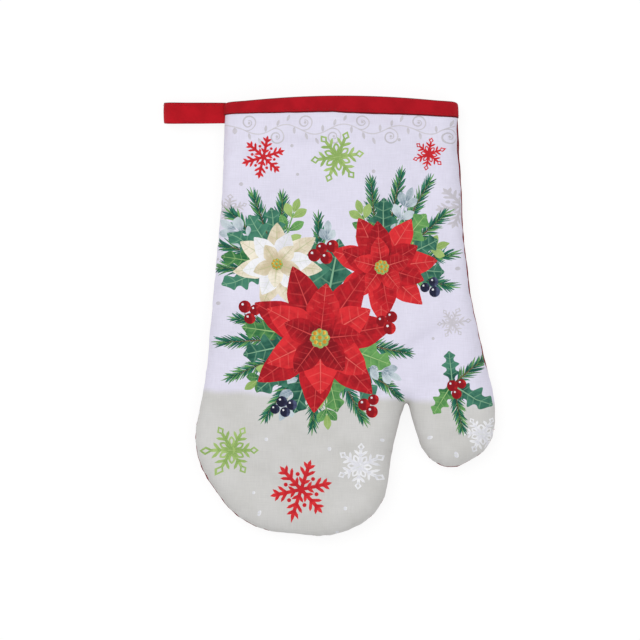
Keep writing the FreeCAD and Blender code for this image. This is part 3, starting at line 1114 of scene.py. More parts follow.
    def poinsettia(self, bloom: Bloom) -> None:
        """Add a poinsettia of three rings of bracts and a seeded middle.

        Args:
            bloom: Where it goes, its size and its inks.
        """
        pen, radius = Pen(self, bloom.x, bloom.y, bloom.turn), bloom.radius
        outer, inner = bloom.inks
        rings = ((7, 0.98, 0.235, outer, 0), (6, 0.78, 0.225, inner, 25), (5, 0.52, 0.17, outer, 8))
        for count, reach, wide, ink, start in rings:
            for index in range(count):
                turn = start + 360 * index / count + self.chance.uniform(-7, 7)
                length = radius * reach * self.chance.uniform(0.9, 1.04)
                bract = pen.moved(0, 0, turn).moved(radius * 0.04, 0)
                bract.blade(ink, length, radius * wide, 0.46, 0.035)
        for index in range(9):
            turn = math.radians(360 * index / 8)
            reach = radius * (0.085 if index < 8 else 0.0)
            x, y = reach * math.cos(turn), reach * math.sin(turn)
            pen.disc(Ink.LIME, x, y, radius * 0.05, 12)
            pen.disc(Ink.GOLD, x, y + radius * 0.012, radius * 0.028, 10)

    def sprig(self, pen: Pen, pairs: int, inks: tuple[Ink, Ink]) -> None:
        """Add a sprig of rounded leaves in pairs that grows along the pen's x.

        Args:
            pen: Where it starts.
            pairs: How many pairs of leaves it has.
            inks: The inks that its pairs take in turn.
        """
        length = 8.5 * pairs
        pen.bar(inks[0], 0, 0, 0, length, 0.9)
        for index in range(pairs):
            for side in (-1, 1):
                leaf = pen.moved(5 + 8.5 * index, 0, side * (46 - 3 * index))
                leaf.blade(inks[(index + 1) % 2], 12.5 - 0.8 * index, 2.8, 0.6)
        pen.moved(length, 0).blade(inks[1], 10, 2.4, 0.55)

    def _greenery(self) -> None:
        """The fir, sprigs and holly behind the flowers."""
        for bloom in BLOOMS:
            for turn, length in bloom.twigs:
                self.fir_twig(bloom.pen(self, turn), length)
        for bloom in BLOOMS:
            for turn, pairs, inks in bloom.sprigs:
                self.sprig(bloom.pen(self, turn), pairs, inks)
        for bloom in BLOOMS:
            for turn, length in bloom.hollies:
                ink = Ink.HOLLY if self.chance.random() < 0.6 else Ink.LEAF
                self.holly(bloom.pen(self, turn), length, ink)

    def _flowers(self) -> None:
        """The flowers and berries at the middle of the design."""
        pale, upper, main = BLOOMS
        self.berries(-47, 4, 3.6, Ink.BERRY, (-6.4, 2.0), (-3.4, -5.4))
        self.berries(-30, -54, 3.3, Ink.NAVY, (6.2, -2.0), (2.0, -6.6), (-4.4, -4.8))
        self.poinsettia(upper)
        self.poinsettia(pale)
        self.berries(-5, 43, 3.7, Ink.BERRY, (6.8, 1.4), (3.0, -6.0), (-4.6, -4.4))
        self.berries(66, 22, 3.2, Ink.NAVY, (1.0, -6.2), (-5.2, -3.6))
        self.poinsettia(main)
        self.berries(33, -3, 3.7, Ink.BERRY, (6.2, 2.6), (5.0, -4.6))
        self.berries(22, -56, 3.6, Ink.BERRY, (5.8, 3.2), (5.0, -4.4))

    def _thumb(self) -> None:
        """A small spray at the root of the thumb."""
        self.fir_twig(Pen(self, 79, -46, 282), 26, 7.5)
        self.fir_twig(Pen(self, 80, -42, 42), 22, 7.0)
        self.holly(Pen(self, 79, -44, 328), 25)
        self.holly(Pen(self, 77, -44, 238), 21, Ink.LEAF)
        self.holly(Pen(self, 78, -42, 96), 20)
        self.berries(78, -44, 3.3, Ink.BERRY, (5.8, 1.2), (2.6, -5.2))


class ClothMesh:
    """Builds a mesh with its maps, in metres."""

    def __init__(self, name: str) -> None:
        """Start a mesh.

        Args:
            name: The name of its object.
        """
        self.name = name
        self.points: Array = np.zeros((0, 3))
        self.faces: list[tuple[int, ...]] = []
        self.maps: dict[str, Array] = {}
        self.inks: list[int] = []

    def add(self, points: Array, faces: Iterable[Sequence[int]], **maps: Array) -> None:
        """Add points in mm and faces between them, with a map value for each point.

        Args:
            points: Rows of x, y and z.
            faces: Indices of the added points.
            maps: Rows of u and v by map name, one for each added point.
        """
        start = len(self.points)
        self.points = np.concatenate((self.points, points))
        faces = [tuple(face) for face in faces]
        self.faces.extend(tuple(start + i for i in face) for face in faces)
        corners = [i for face in faces for i in face]
        self._map({key: rows[corners] for key, rows in maps.items()})

    def grid(self, rows: Array, closed: tuple[bool, bool], **maps: Array) -> None:
        """Add a grid of points, rows by columns, with a map value for each corner.

        Args:
            rows: Points, shaped rows by columns by 3.
            closed: Whether the rows close on themselves, and the columns.
            maps: The u and v of the grid lines, shaped one more row and column where closed.
        """
        count, across = rows.shape[:2]
        start = len(self.points)
        self.points = np.concatenate((self.points, rows.reshape(-1, 3)))
        cells = np.array([
            ((i, j), (i, j + 1), (i + 1, j + 1), (i + 1, j))
            for i in range(count if closed[0] else count - 1)
            for j in range(across if closed[1] else across - 1)
        ])
        faces = start + cells[..., 0] % count * across + cells[..., 1] % across
        self.faces.extend(tuple(face) for face in faces.tolist())
        i, j = cells.reshape(-1, 2).T
        self._map({key: values[i, j] for key, values in maps.items()})

    def _map(self, added: dict[str, Array]) -> None:
        """Give the added faces' corners their place on each map."""
        for key, corners in added.items():
            self.maps[key] = np.concatenate((self.maps.get(key, np.zeros((0, 2))), corners))

    def strand(self, path: Array, radius: float, sides: int = 6) -> None:
        """Add a length of thread with tapered ends.

        Args:
            path: Its middle.
            radius: Its radius.
            sides: Points around it.
        """
        ahead = unit(np.gradient(path, axis=0))
        up = np.where(np.abs(ahead[:, 2:3]) > 0.9, (1.0, 0.0, 0.0), (0.0, 0.0, 1.0))
        side = unit(np.cross(ahead, up))
        over = np.cross(side, ahead)
        taper = np.sin(np.linspace(0.12, 0.88, len(path)) * math.pi) ** 0.4 * radius
        turns = np.linspace(0, 2 * math.pi, sides, endpoint=False)[None, :, None]
        ring = np.cos(turns) * side[:, None] + np.sin(turns) * over[:, None]
        around = np.linspace(0, 2 * math.pi * radius, sides + 1)
        cloth = np.stack(np.meshgrid(runs_along(path), around, indexing="ij"), axis=2)
        self.grid(path[:, None] + ring * taper[:, None, None], (False, True), Cloth=cloth)

    def make(self, *materials: Material, round_off: int = 0) -> Object:
        """Make the object.

        Args:
            materials: Its materials in slot order.
            round_off: Levels of subdivision to add.

        Returns:
            The object, linked to the scene.
        """
        mesh = bpy.data.meshes.new(self.name)
        mesh.from_pydata((self.points * MM).tolist(), [], self.faces)
        for key, corners in self.maps.items():
            mesh.uv_layers.new(name=key).data.foreach_set("uv", corners.astype(np.float32).ravel())
        for material in materials:
            mesh.materials.append(material)
        if self.inks:
            mesh.polygons.foreach_set("material_index", self.inks)
        mesh.polygons.foreach_set("use_smooth", [True] * len(mesh.polygons))
        mesh.update()
        piece = put(self.name, mesh)
        if round_off:
            rounding = piece.modifiers.new("Rounding", "SUBSURF")
            rounding.levels = rounding.render_levels = round_off
        log.info("%s: %d faces", self.name, len(mesh.polygons))
        return piece


@dataclass(frozen=True)
class Graph:
    """Adds nodes to a tree and joins them.

    Args:
        tree: The node tree of a material or a group.
    """

    tree: Tree

    def feed(self, socket: Socket, value: Value) -> None:
        """Link a socket to another, or set its plain value.

        Args:
            socket: The socket.
            value: The socket that it is linked to, or its value.
        """
        if isinstance(value, Socket):
            self.tree.links.new(value, socket)
        else:
            socket.default_value = value

    def node(self, kind: str, *values: Value | None, **settings: object) -> Node:
        """Add a node.

        Args:
            kind: Its type, without the leading ShaderNode.
            values: Its inputs in order, with None for those left alone.
            settings: Its own properties.

        Returns:
            The node.
        """
        made = self.tree.nodes.new(f"ShaderNode{kind}")
        for name, setting in settings.items():
            setattr(made, name, setting)
        for socket, value in zip(made.inputs, values):
            if value is not None:
                self.feed(socket, value)
        return made

    def math(self, operation: str, *values: Value, clamp: bool = False) -> Socket:
        """The result of a calculation with numbers."""
        return self.node("Math", *values, operation=operation, use_clamp=clamp).outputs[0]

    def split(self, vector: Value) -> tuple[Socket, ...]:
        """The x, y and z of a vector."""
        return tuple(self.node("SeparateXYZ", vector).outputs)

    def noise(self, place: Value, stretch: Sequence[float], detail: float = 2.0) -> Socket:
        """Soft noise from 0 to 1, stretched along each axis, with finer layers added to it."""
        spot = self.node("VectorMath", place, stretch, operation="MULTIPLY").outputs[0]
        return self.node("TexNoise", spot, None, 1.0, detail).outputs["Fac"]

    def ease(self, value: Value, low: Value, high: Value) -> Socket:
        """A smooth rise from 0 to 1 as a value goes from one to another."""
        return self.node("MapRange", value, low, high, interpolation_type="SMOOTHSTEP").outputs[0]

    def mix(self, share: Value, first: Value, second: Value, blend: str = "MIX") -> Socket:
        """A blend of two colours.

        Args:
            share: How much of the second is taken.
            first: The first colour.
            second: The second colour.
            blend: How they blend.

        Returns:
            The blended colour.
        """
        made = self.tree.nodes.new("ShaderNodeMix")
        made.data_type, made.blend_type = "RGBA", blend
        for index, value in ((0, share), (6, first), (7, second)):
            self.feed(made.inputs[index], value)
        return made.outputs[2]

    def map(self, name: str) -> Socket:
        """A mesh map's coordinates."""
        return self.node("UVMap", uv_map=name).outputs[0]

    def group(self, tree: Tree, **values: Value) -> Node:
        """Place a group.

        Args:
            tree: The group.
            values: Its inputs by name, with an underscore for each space.

        Returns:
            The group's node.
        """
        made = self.tree.nodes.new("ShaderNodeGroup")
        made.node_tree = tree
        for name, value in values.items():
            self.feed(made.inputs[name.replace("_", " ")], value)
        return made


class SocketKind(Enum):
    """Kinds of group sockets."""

    NUMBER = "NodeSocketFloat"
    COLOUR = "NodeSocketColor"
    VECTOR = "NodeSocketVector"


NUMBER, COLOUR, VECTOR = SocketKind


class Effects:
    """The shader node groups that the finishes share, each built once."""

    def __init__(self) -> None:
        """Start with no group built."""
        self.built: dict[str, Tree] = {}

    def _group(
        self,
        name: str,
        takes: dict[str, SocketKind],
        gives: dict[str, SocketKind],
        fill: Callable[[Graph, Sockets], Sockets],
    ) -> Tree:
        """Build a group, or give the one that was built before.

        Args:
            name: Its name.
            takes: Its inputs.
            gives: Its outputs.
            fill: Builds its nodes from its inputs and gives its outputs.

        Returns:
            The group.
        """
        if name not in self.built:
            tree = bpy.data.node_groups.new(name, "ShaderNodeTree")
            for label, kind in takes.items():
                tree.interface.new_socket(label, in_out="INPUT", socket_type=kind.value)
            for label, kind in gives.items():
                tree.interface.new_socket(label, in_out="OUTPUT", socket_type=kind.value)
            graph = Graph(tree)
            start, end = (tree.nodes.new(f"NodeGroup{way}") for way in ("Input", "Output"))
            for label, socket in fill(graph, dict(start.outputs.items())).items():
                graph.feed(end.inputs[label], socket)
            self.built[name] = tree
        return self.built[name]

    def weave(self) -> Tree:
        """Plain weave: threads over and under, with thicker ones here and there."""
        takes = {"Place": VECTOR, "Pitch": NUMBER, "Slub": NUMBER}
        return self._group("Plain weave", takes, {"Height": NUMBER, "Thread": NUMBER}, self._weave)

    @staticmethod
    def _weave(g: Graph, take: Sockets) -> Sockets:
        """Build the weave's nodes.

        Args:
            g: The group's graph.
            take: Its inputs by name.

        Returns:
            Its outputs by name.
        """
        x, y, _ = g.split(take["Place"])
        turn = g.math("DIVIDE", math.pi, take["Pitch"])
        warp = g.math("SINE", g.math("MULTIPLY", x, turn))
        weft = g.math("SINE", g.math("MULTIPLY", y, turn))
        over = g.math("MULTIPLY", warp, weft)
        along = g.noise(take["Place"], (0.11, 1.9, 1))
        across = g.noise(take["Place"], (1.9, 0.11, 1))
        both = g.math("SUBTRACT", g.math("ADD", along, across), 1.0)
        slub = g.math("MULTIPLY", both, take["Slub"])
        height = g.math("MULTIPLY_ADD", over, 0.35, g.math("MULTIPLY_ADD", slub, 1.5, 0.5))
        thread = g.math("MULTIPLY_ADD", over, 0.03, g.math("MULTIPLY_ADD", slub, 0.22, 1.0))
        return {"Height": height, "Thread": thread}

    def handling(self) -> Tree:
        """Soft unevenness of colour and sheen that cloth has from washing and handling."""
        takes = {"Color": COLOUR, "Place": VECTOR, "Thread": NUMBER, "Amount": NUMBER}
        gives = {"Color": COLOUR, "Roughness": NUMBER}
        return self._group("Handling", takes, gives, self._handling)

    @staticmethod
    def _handling(g: Graph, take: Sockets) -> Sockets:
        """Build the handling's nodes.

        Args:
            g: The group's graph.
            take: Its inputs by name.

        Returns:
            Its outputs by name.
        """
        broad = g.noise(take["Place"], (0.022, 0.022, 1), 3)
        fine = g.noise(take["Place"], (0.17, 0.17, 1), 4)
        uneven = g.math("SUBTRACT", g.math("ADD", broad, g.math("MULTIPLY", fine, 0.6)), 0.8)
        shade = g.math("MULTIPLY_ADD", uneven, take["Amount"], take["Thread"])
        tint = g.node("CombineColor", shade, shade, shade).outputs[0]
        less = g.math("MULTIPLY", take["Amount"], -0.8)
        rough = g.math("MULTIPLY_ADD", uneven, less, 0.86, clamp=True)
        return {"Color": g.mix(1.0, take["Color"], tint, "MULTIPLY"), "Roughness": rough}

    def painted(self) -> Tree:
        """Brushed ink: a wash from dark to light along a shape, with its ribs."""
        takes = {
            "Local": VECTOR, "Place": VECTOR, "Tone": VECTOR, "Light": COLOUR, "Dark": COLOUR,
            "Rib": COLOUR, "Rib Width": NUMBER, "Side Ribs": NUMBER,
        }
        return self._group("Painted ink", takes, {"Color": COLOUR}, self._painted)

    @staticmethod
    def _painted(g: Graph, take: Sockets) -> Sockets:
        """Build the ink's nodes.

        Args:
            g: The group's graph.
            take: Its inputs by name.

        Returns:
            Its outputs by name.
        """
        along, across, _ = g.split(take["Local"])
        tone, _, _ = g.split(take["Tone"])
        out = g.math("ABSOLUTE", across)
        brush = g.noise(take["Place"], (0.21, 0.21, 1), 5)
        streak = g.noise(take["Local"], (2.4, 5.5, 1), 2)
        wash = g.math("ADD", g.math("MULTIPLY", brush, 0.75), g.math("MULTIPLY", streak, 0.45))
        base = g.math("MULTIPLY", g.ease(along, 0.55, 0.0), 0.5)
        wash = g.math("ADD", wash, g.math("SUBTRACT", base, g.math("MULTIPLY", out, 0.22)))
        wash = g.math("ADD", wash, g.math("MULTIPLY", tone, 0.4))
        share = g.ease(wash, 0.42, 1.12)
        colour = g.mix(share, take["Light"], take["Dark"])
        taper = g.math("MULTIPLY_ADD", along, -0.75, 1.0)
        narrow = g.math("MULTIPLY", take["Rib Width"], taper)
        middle = g.ease(g.math("SUBTRACT", out, narrow), 0.02, -0.02)
        slant = g.math("MULTIPLY_ADD", out, -0.75, g.math("MULTIPLY", along, 6.0))
        wave = g.math("ABSOLUTE", g.math("SUBTRACT", g.math("FRACT", slant), 0.5))
        side = g.math("MULTIPLY", g.ease(wave, 0.10, 0.02), g.ease(out, 1.0, 0.35))
        side = g.math("MULTIPLY", side, take["Side Ribs"])
        ribs = g.math("MAXIMUM", g.math("MULTIPLY", middle, 0.8), side)
        ribs = g.math("MULTIPLY", ribs, g.ease(take["Rib Width"], 0.0, 0.005))
        return {"Color": g.mix(ribs, colour, take["Rib"])}


@dataclass(frozen=True)
class Cloth:
    """How a woven cotton is lit and textured, whatever its colour.

    Args:
        pitch: Distance between its threads.
        slub: How uneven its threads are.
        relief: How far its weave stands up.
        sheen: Weight of its soft fuzz.
        unevenness: How much its colour varies.
        bias: Degrees that its threads are turned.
    """

    pitch: float = 0.42
    slub: float = 0.35
    relief: float = 0.06
    sheen: float = 0.12
    unevenness: float = 0.06
    bias: float = 0.0

    def material(self, effects: Effects, name: str, colour: Paint) -> Material:
        """Make a woven material.

        Args:
            effects: The shared groups.
            name: The material's name.
            colour: Gives the colour from the graph and the place on the cloth.

        Returns:
            The material.
        """
        made, g = bare_material(name)
        place = laid = g.map("Cloth")
        if self.bias:
            turning = g.node("VectorRotate", place, rotation_type="EULER_XYZ")
            turning.inputs["Rotation"].default_value = (0.0, 0.0, math.radians(self.bias))
            laid = turning.outputs[0]
        weave = g.group(effects.weave(), Place=laid, Pitch=self.pitch, Slub=self.slub)
        worn = g.group(
            effects.handling(),
            Color=colour(g, place),
            Place=place,
            Thread=weave.outputs["Thread"],
            Amount=self.unevenness,
        )
        shader = g.node("BsdfPrincipled")
        g.feed(shader.inputs["Base Color"], worn.outputs["Color"])
        g.feed(shader.inputs["Roughness"], worn.outputs["Roughness"])
        shader.inputs["Sheen Weight"].default_value = self.sheen
        shader.inputs["Specular IOR Level"].default_value = 0.2
        bump = g.node("Bump", 0.7, self.relief * MM)
        g.feed(bump.inputs["Height"], weave.outputs["Height"])
        g.feed(shader.inputs["Normal"], bump.outputs[0])
        g.feed(g.node("OutputMaterial").inputs[0], shader.outputs[0])
        return made


@dataclass(frozen=True)
class PrintedCotton:
    """The front panel's printed cotton.

    Args:
        cloth: The cotton under the print.
        snow: The ground's colour above, and its darker wash.
        drift: The ground's colour below, and its darker wash.
        horizon: Where one gives way to the other along the hand.
        lean: How far the horizon rises for each mm across the hand.
        blur: How softly one gives way to the other.
        waver: How far the horizon wavers.
    """

    cloth: Cloth = Cloth(pitch=0.42, slub=0.62, relief=0.06)
    snow: tuple[Colour, Colour] = (srgb(229, 226, 243), srgb(224, 221, 238))
    drift: tuple[Colour, Colour] = (srgb(212, 211, 209), srgb(206, 205, 202))
    horizon: float = -51.0
    lean: float = -0.044
    blur: float = 3.0
    waver: float = 6.0

    def materials(self, effects: Effects) -> list[Material]:
        """Make one material for each ink.

        Args:
            effects: The shared groups.

        Returns:
            The materials in the inks' order.
        """
        made = []
        for ink in Ink:
            name = f"Printed cotton {ink.name.lower().replace('_', ' ')}"
            colour = partial(ink.value.paint, effects) if ink.value else self._ground
            made.append(self.cloth.material(effects, name, colour))
        return made

    def _ground(self, g: Graph, place: Socket) -> Socket:
        """The two-toned ground's colour.

        Args:
            g: The material's graph.
            place: The place on the cloth.

        Returns:
            The colour.
        """
        x, y, _ = g.split(place)
        level = g.math("MULTIPLY_ADD", x, -self.lean, y)
        level = g.math("MULTIPLY_ADD", g.noise(place, (0.03, 0.03, 1), 3), self.waver, level)
        edge = self.horizon + self.waver / 2
        low = g.ease(level, edge + self.blur, edge - self.blur)
        wash = g.ease(g.noise(place, (0.045, 0.045, 1), 4), 0.35, 0.7)
        above = g.mix(wash, *self.snow)
        return g.mix(low, above, g.mix(wash, *self.drift))


@dataclass(frozen=True)
class DyedCotton:
    """A cotton dyed one colour.

    Args:
        name: The material's name.
        light: Its lighter shade.
        dark: Its darker shade.
        cloth: The cotton itself.
        shade_lines: Painted shade: how far each dark line lies from the middle line, and half its
            width.
        shade_line_colour: The colour of that painted shade, where the cloth folds over or turns at an
            edge.
    """

    name: str
    light: Colour
    dark: Colour
    cloth: Cloth = Cloth()
    shade_lines: tuple[tuple[float, float], ...] = ()
    shade_line_colour: Colour = srgb(96, 10, 18)

    def material(self, effects: Effects) -> Material:
        """Make the material."""
        return self.cloth.material(effects, self.name, self._dye_and_shade)

    def _dye_and_shade(self, g: Graph, place: Socket) -> Socket:
        """The dye's uneven colour, darkened by painted lines of shade at the folds and edges.

        Args:
            g: The material's graph.
            place: The place on the cloth.

        Returns:
            The colour.
        """
        share = g.ease(g.noise(place, (0.09, 0.09, 1), 4), 0.3, 0.7)
        dye = g.mix(share, self.light, self.dark)
        off = g.math("ABSOLUTE", g.split(place)[1])
        # Painted shade: a dark line at each of these places stands in for the shade where the cloth
        # turns away from the light.
        for at, half in self.shade_lines:
            gap = g.math("ABSOLUTE", g.math("SUBTRACT", off, at))
            dye = g.mix(g.ease(gap, half, 0.4 * half), dye, self.shade_line_colour)
        return dye


# The back's red is darker than the cloth's own: it is partly its colour and partly painted shade for
# the thin edge of it that shows beside the front.
BACK_COTTON = DyedCotton(
    "Red back cotton", srgb(127, 15, 27), srgb(115, 12, 23), Cloth(pitch=0.42, slub=0.3, sheen=0.04)
)
TAPE_COTTON = DyedCotton(
    "Red binding tape",
    srgb(184, 14, 31),
    srgb(167, 9, 26),
    Cloth(pitch=0.36, slub=0.2, sheen=0.03, bias=45),
    # Painted shade along the fold over the cuff's edge and along both edges of the tape.
    shade_lines=((0.0, 2.0), (11.2, 0.8)),
)
LOOP_COTTON = DyedCotton(
    "Red loop tape",
    srgb(193, 14, 31),
    srgb(176, 10, 26),
    Cloth(pitch=0.4, slub=0.22, sheen=0.03, bias=8),
    # Painted shade along the loop tape's open edge.
    shade_lines=((0.0, 0.9),),
)
LINING_COTTON = DyedCotton(
    "Undyed lining cotton", srgb(236, 232, 222), srgb(222, 217, 206), Cloth(pitch=0.5, slub=0.45)
)
BATTING = DyedCotton(
    "Cotton batting",
    srgb(244, 242, 236),
    srgb(232, 228, 220),
    Cloth(pitch=1.6, slub=1.4, relief=0.5, sheen=0.3, bias=33),
)
RED_THREAD = DyedCotton(
    "Red sewing thread",
    srgb(182, 20, 33),
    srgb(154, 12, 25),
    Cloth(pitch=0.22, relief=0.03, bias=30),
)


@dataclass
class FlatNet:
    """A triangulated flat face, with the print's shapes cut into it.

    Args:
        outline: The mitt's outline.
        spacing: Distance between points.
        rings: How deep each ring of points beside the edge lies.
        patches: The printed shapes, the last ones on top.

    LONGEST_SIDE is the longest side that a shape's edge keeps, and CLEARANCE the least way from
    such an edge to a point that isn't on it.
    """

    outline: Outline
    spacing: float
    rings: Sequence[float]
    patches: Sequence[Patch] = ()

    LONGEST_SIDE = 2.4
    CLEARANCE = 0.55

    def __post_init__(self) -> None:
        """Lay the net."""
        border = self.outline.loop(self.spacing)
        shapes = [border, *(self._fine(patch.edge, self.LONGEST_SIDE) for patch in self.patches)]
        free = self._free_points(border)
        if self.patches:
            free = free[self._clear(free, shapes[1:])]
        points = np.concatenate((*shapes, free))
        starts = np.concatenate(([0], np.cumsum([len(shape) for shape in shapes])))
        loops = [list(range(a, b)) for a, b in zip(starts, starts[1:])]
        laid = delaunay_2d_cdt([Vector(p) for p in points.tolist()], [], loops, 1, 1e-4, True)
        found, triangles, owners = laid[0], laid[2], laid[5]
        kept = [(face, max(who)) for face, who in zip(triangles, owners) if 0 in who]
        self.points = np.array([tuple(p) for p in found])
        self.triangles = np.array([face for face, _ in kept])
        self.owner = np.array([who - 1 for _, who in kept])
        used = np.unique(self.triangles)
        fresh = np.full(len(self.points), -1)
        fresh[used] = np.arange(len(used))
        self.points, self.triangles = self.points[used], fresh[self.triangles]

    @staticmethod
    def _fine(edge: Array, step: float) -> Array:
        """Turn a closed edge anticlockwise and add points on its long sides.

        Args:
            edge: Its points in order.
            step: The longest side that it may keep.

        Returns:
            The points in order.
        """
        ahead = np.roll(edge, -1, axis=0)
        if (edge[:, 0] * ahead[:, 1] - edge[:, 1] * ahead[:, 0]).sum() < 0:
            edge = edge[::-1]
            ahead = np.roll(edge, -1, axis=0)
        pieces = []
        for start, end in zip(edge, ahead):
            count = max(1, math.ceil(np.linalg.norm(end - start) / step))
            pieces.append(start + (end - start) * np.linspace(0, 1, count, endpoint=False)[:, None])
        return np.concatenate(pieces)

    def _free_points(self, border: Array) -> Array:
        """The net's inner points: rings beside the edge and an even field inside them.

        Args:
            border: The points of the edge.

        Returns:
            The points.
        """
        outline, spacing = self.outline, self.spacing
        edge = outline.edge(border)
        made = []
        for depth in self.rings:
            ring = edge.foot + edge.inward * depth
            ring = ring[edge.depth < 0.01]
            made.append(ring[outline.edge(ring).depth > depth - 0.02])
        low, high = border.min(axis=0), border.max(axis=0)
        rows = []
        for index, y in enumerate(np.arange(low[1], high[1], spacing * math.sqrt(0.75))):
            across = np.arange(low[0] + (index % 2) * spacing / 2, high[0], spacing)
            rows.append(np.column_stack((across, np.full(len(across), y))))
        even = np.concatenate(rows)
        even = even[self._inside(even, border)]
        made.append(even[outline.edge(even).depth > max(self.rings) + 0.5 * spacing])
        free = np.concatenate(made)
        return free[outline.below_cuff(free) > 0.55 * spacing]

    @staticmethod
    def _inside(points: Array, border: Array) -> Array:
        """Find the points that lie inside a closed edge.

        Args:
            points: The points.
            border: The edge's points in order.

        Returns:
            Whether each one lies inside.
        """
        ahead = np.roll(border, -1, axis=0)
        inside = np.zeros(len(points), bool)
        x, y = points.T
        for (x0, y0), (x1, y1) in zip(border, ahead):
            if y0 != y1:
                inside ^= ((y > y0) != (y > y1)) & (x < x0 + (y - y0) * (x1 - x0) / (y1 - y0))
        return inside

    def _clear(self, points: Array, shapes: Sequence[Array]) -> Array:
        """Whether each point is clear of every shape's edge."""
        tree = search_tree(np.concatenate([self._fine(shape, self.CLEARANCE) for shape in shapes]))
        return np.array([tree.find((x, y, 0.0))[2] > self.CLEARANCE for x, y in points])


@dataclass
class Filling:
    """Fills the mitt's padding: cloth held at its seam and cuff and swollen from inside.

    Args:
        spacing: Distance between the net's points.
        steps: How many steps the cloth moves for.
        pressure: How hard the padding pushes.
        slack: How much longer the cloth is than the space that it covers.
        reach: How near points are that swell together.
        most: The furthest that a point may move.
        rings: How deep each ring of the net's points beside its edge lies.
        bound: How far below the cuff's edge the tape holds the cloth.
    """

    spacing: float = 4.5
    steps: int = 24
    pressure: float = 3.0
    slack: float = 0.035
    reach: float = 14.0
    most: float = 1.6
    rings: tuple[float, ...] = (1.6, 4.5, 8.0)
    bound: float = 9.5

    def fill(self, form: PaddedForm) -> dict[Face, Settling]:
        """Let the cloth settle over the padding.

        Args:
            form: The shape it starts from.

        Returns:
            How each face moves.
        """
        net = FlatNet(form.outline, self.spacing, self.rings)
        count = len(net.points)
        front = form.place(Face.FRONT, net.points)
        back = form.place(Face.BACK, net.points)
        on_seam = form.outline.edge(net.points).depth < 0.02
        bound = form.outline.below_cuff(net.points) < self.bound
        twin = np.arange(count) + count
        twin[on_seam] = np.flatnonzero(on_seam)
        faces = [tuple(t) for t in net.triangles] + [tuple(twin[t[::-1]]) for t in net.triangles]
        rest = np.concatenate((front, back))
        held = np.tile(on_seam | bound, 2)
        moves = self._settle(rest, faces, held)
        for side in (slice(0, count), slice(count, 2 * count)):
            moves[side] -= self._broad(net.points, moves[side])
        moves[held] = 0.0
        length = np.linalg.norm(moves, axis=1)
        moves *= (self.most * np.tanh(length / self.most) / np.maximum(length, 1e-9))[:, None]
        furthest = np.linalg.norm(moves, axis=1).max()
        log.info("Filling: %d points, moves up to %.1f mm", len(rest), furthest)
        return {
            Face.FRONT: Settling(net.points, moves[:count], self.spacing * 0.75),
            Face.BACK: Settling(net.points, moves[twin], self.spacing * 0.75),
        }

    def _broad(self, plan: Array, moves: Array) -> Array:
        """The swelling that neighbouring points share, which the form's crowns already have.

        Args:
            plan: The net's flat points.
            moves: How far each one moves.

        Returns:
            The shared part of each move.
        """
        gaps = ((plan[:, None] - plan[None]) ** 2).sum(axis=2)
        weights = np.exp(-gaps / self.reach**2)
        return weights @ moves / weights.sum(axis=1)[:, None]

    def _settle(self, rest: Array, faces: list[tuple[int, ...]], held: Array) -> Array:
        """Run the cloth and say how far each point moves.

        Args:
            rest: Where the points start.
            faces: The net's faces.
            held: Whether each point is held still.

        Returns:
            One move per point.
        """
        scene = bpy.context.scene
        mesh = bpy.data.meshes.new("Filling")
        mesh.from_pydata((rest * MM).tolist(), [], faces)
        net = put("Filling", mesh)
        net.vertex_groups.new(name="held").add(np.flatnonzero(held).tolist(), 1.0, "REPLACE")
        cloth = net.modifiers.new("Cloth", "CLOTH")
        for name, setting in {
            "quality": 7,
            "mass": 0.2,
            "tension_stiffness": 18,
            "compression_stiffness": 18,
            "shear_stiffness": 6,
            "bending_stiffness": 0.3,
            "tension_damping": 12,
            "compression_damping": 12,
            "air_damping": 3,
            "use_pressure": True,
            "uniform_pressure_force": self.pressure,
            "shrink_min": -self.slack,
            "vertex_group_mass": "held",
        }.items():
            setattr(cloth.settings, name, setting)
        cloth.settings.effector_weights.gravity = 0
        cloth.collision_settings.use_collision = False
        cloth.point_cache.frame_start, cloth.point_cache.frame_end = 1, self.steps
        for step in range(1, self.steps + 1):
            scene.frame_set(step)
        settled = net.evaluated_get(bpy.context.evaluated_depsgraph_get())
        flat = np.empty(len(rest) * 3)
        settled.data.vertices.foreach_get("co", flat)
        moves = flat.reshape(-1, 3) / MM - rest
        bpy.data.objects.remove(net)
        bpy.data.meshes.remove(mesh)
        scene.frame_set(1)
        return np.where(held[:, None], 0.0, moves)


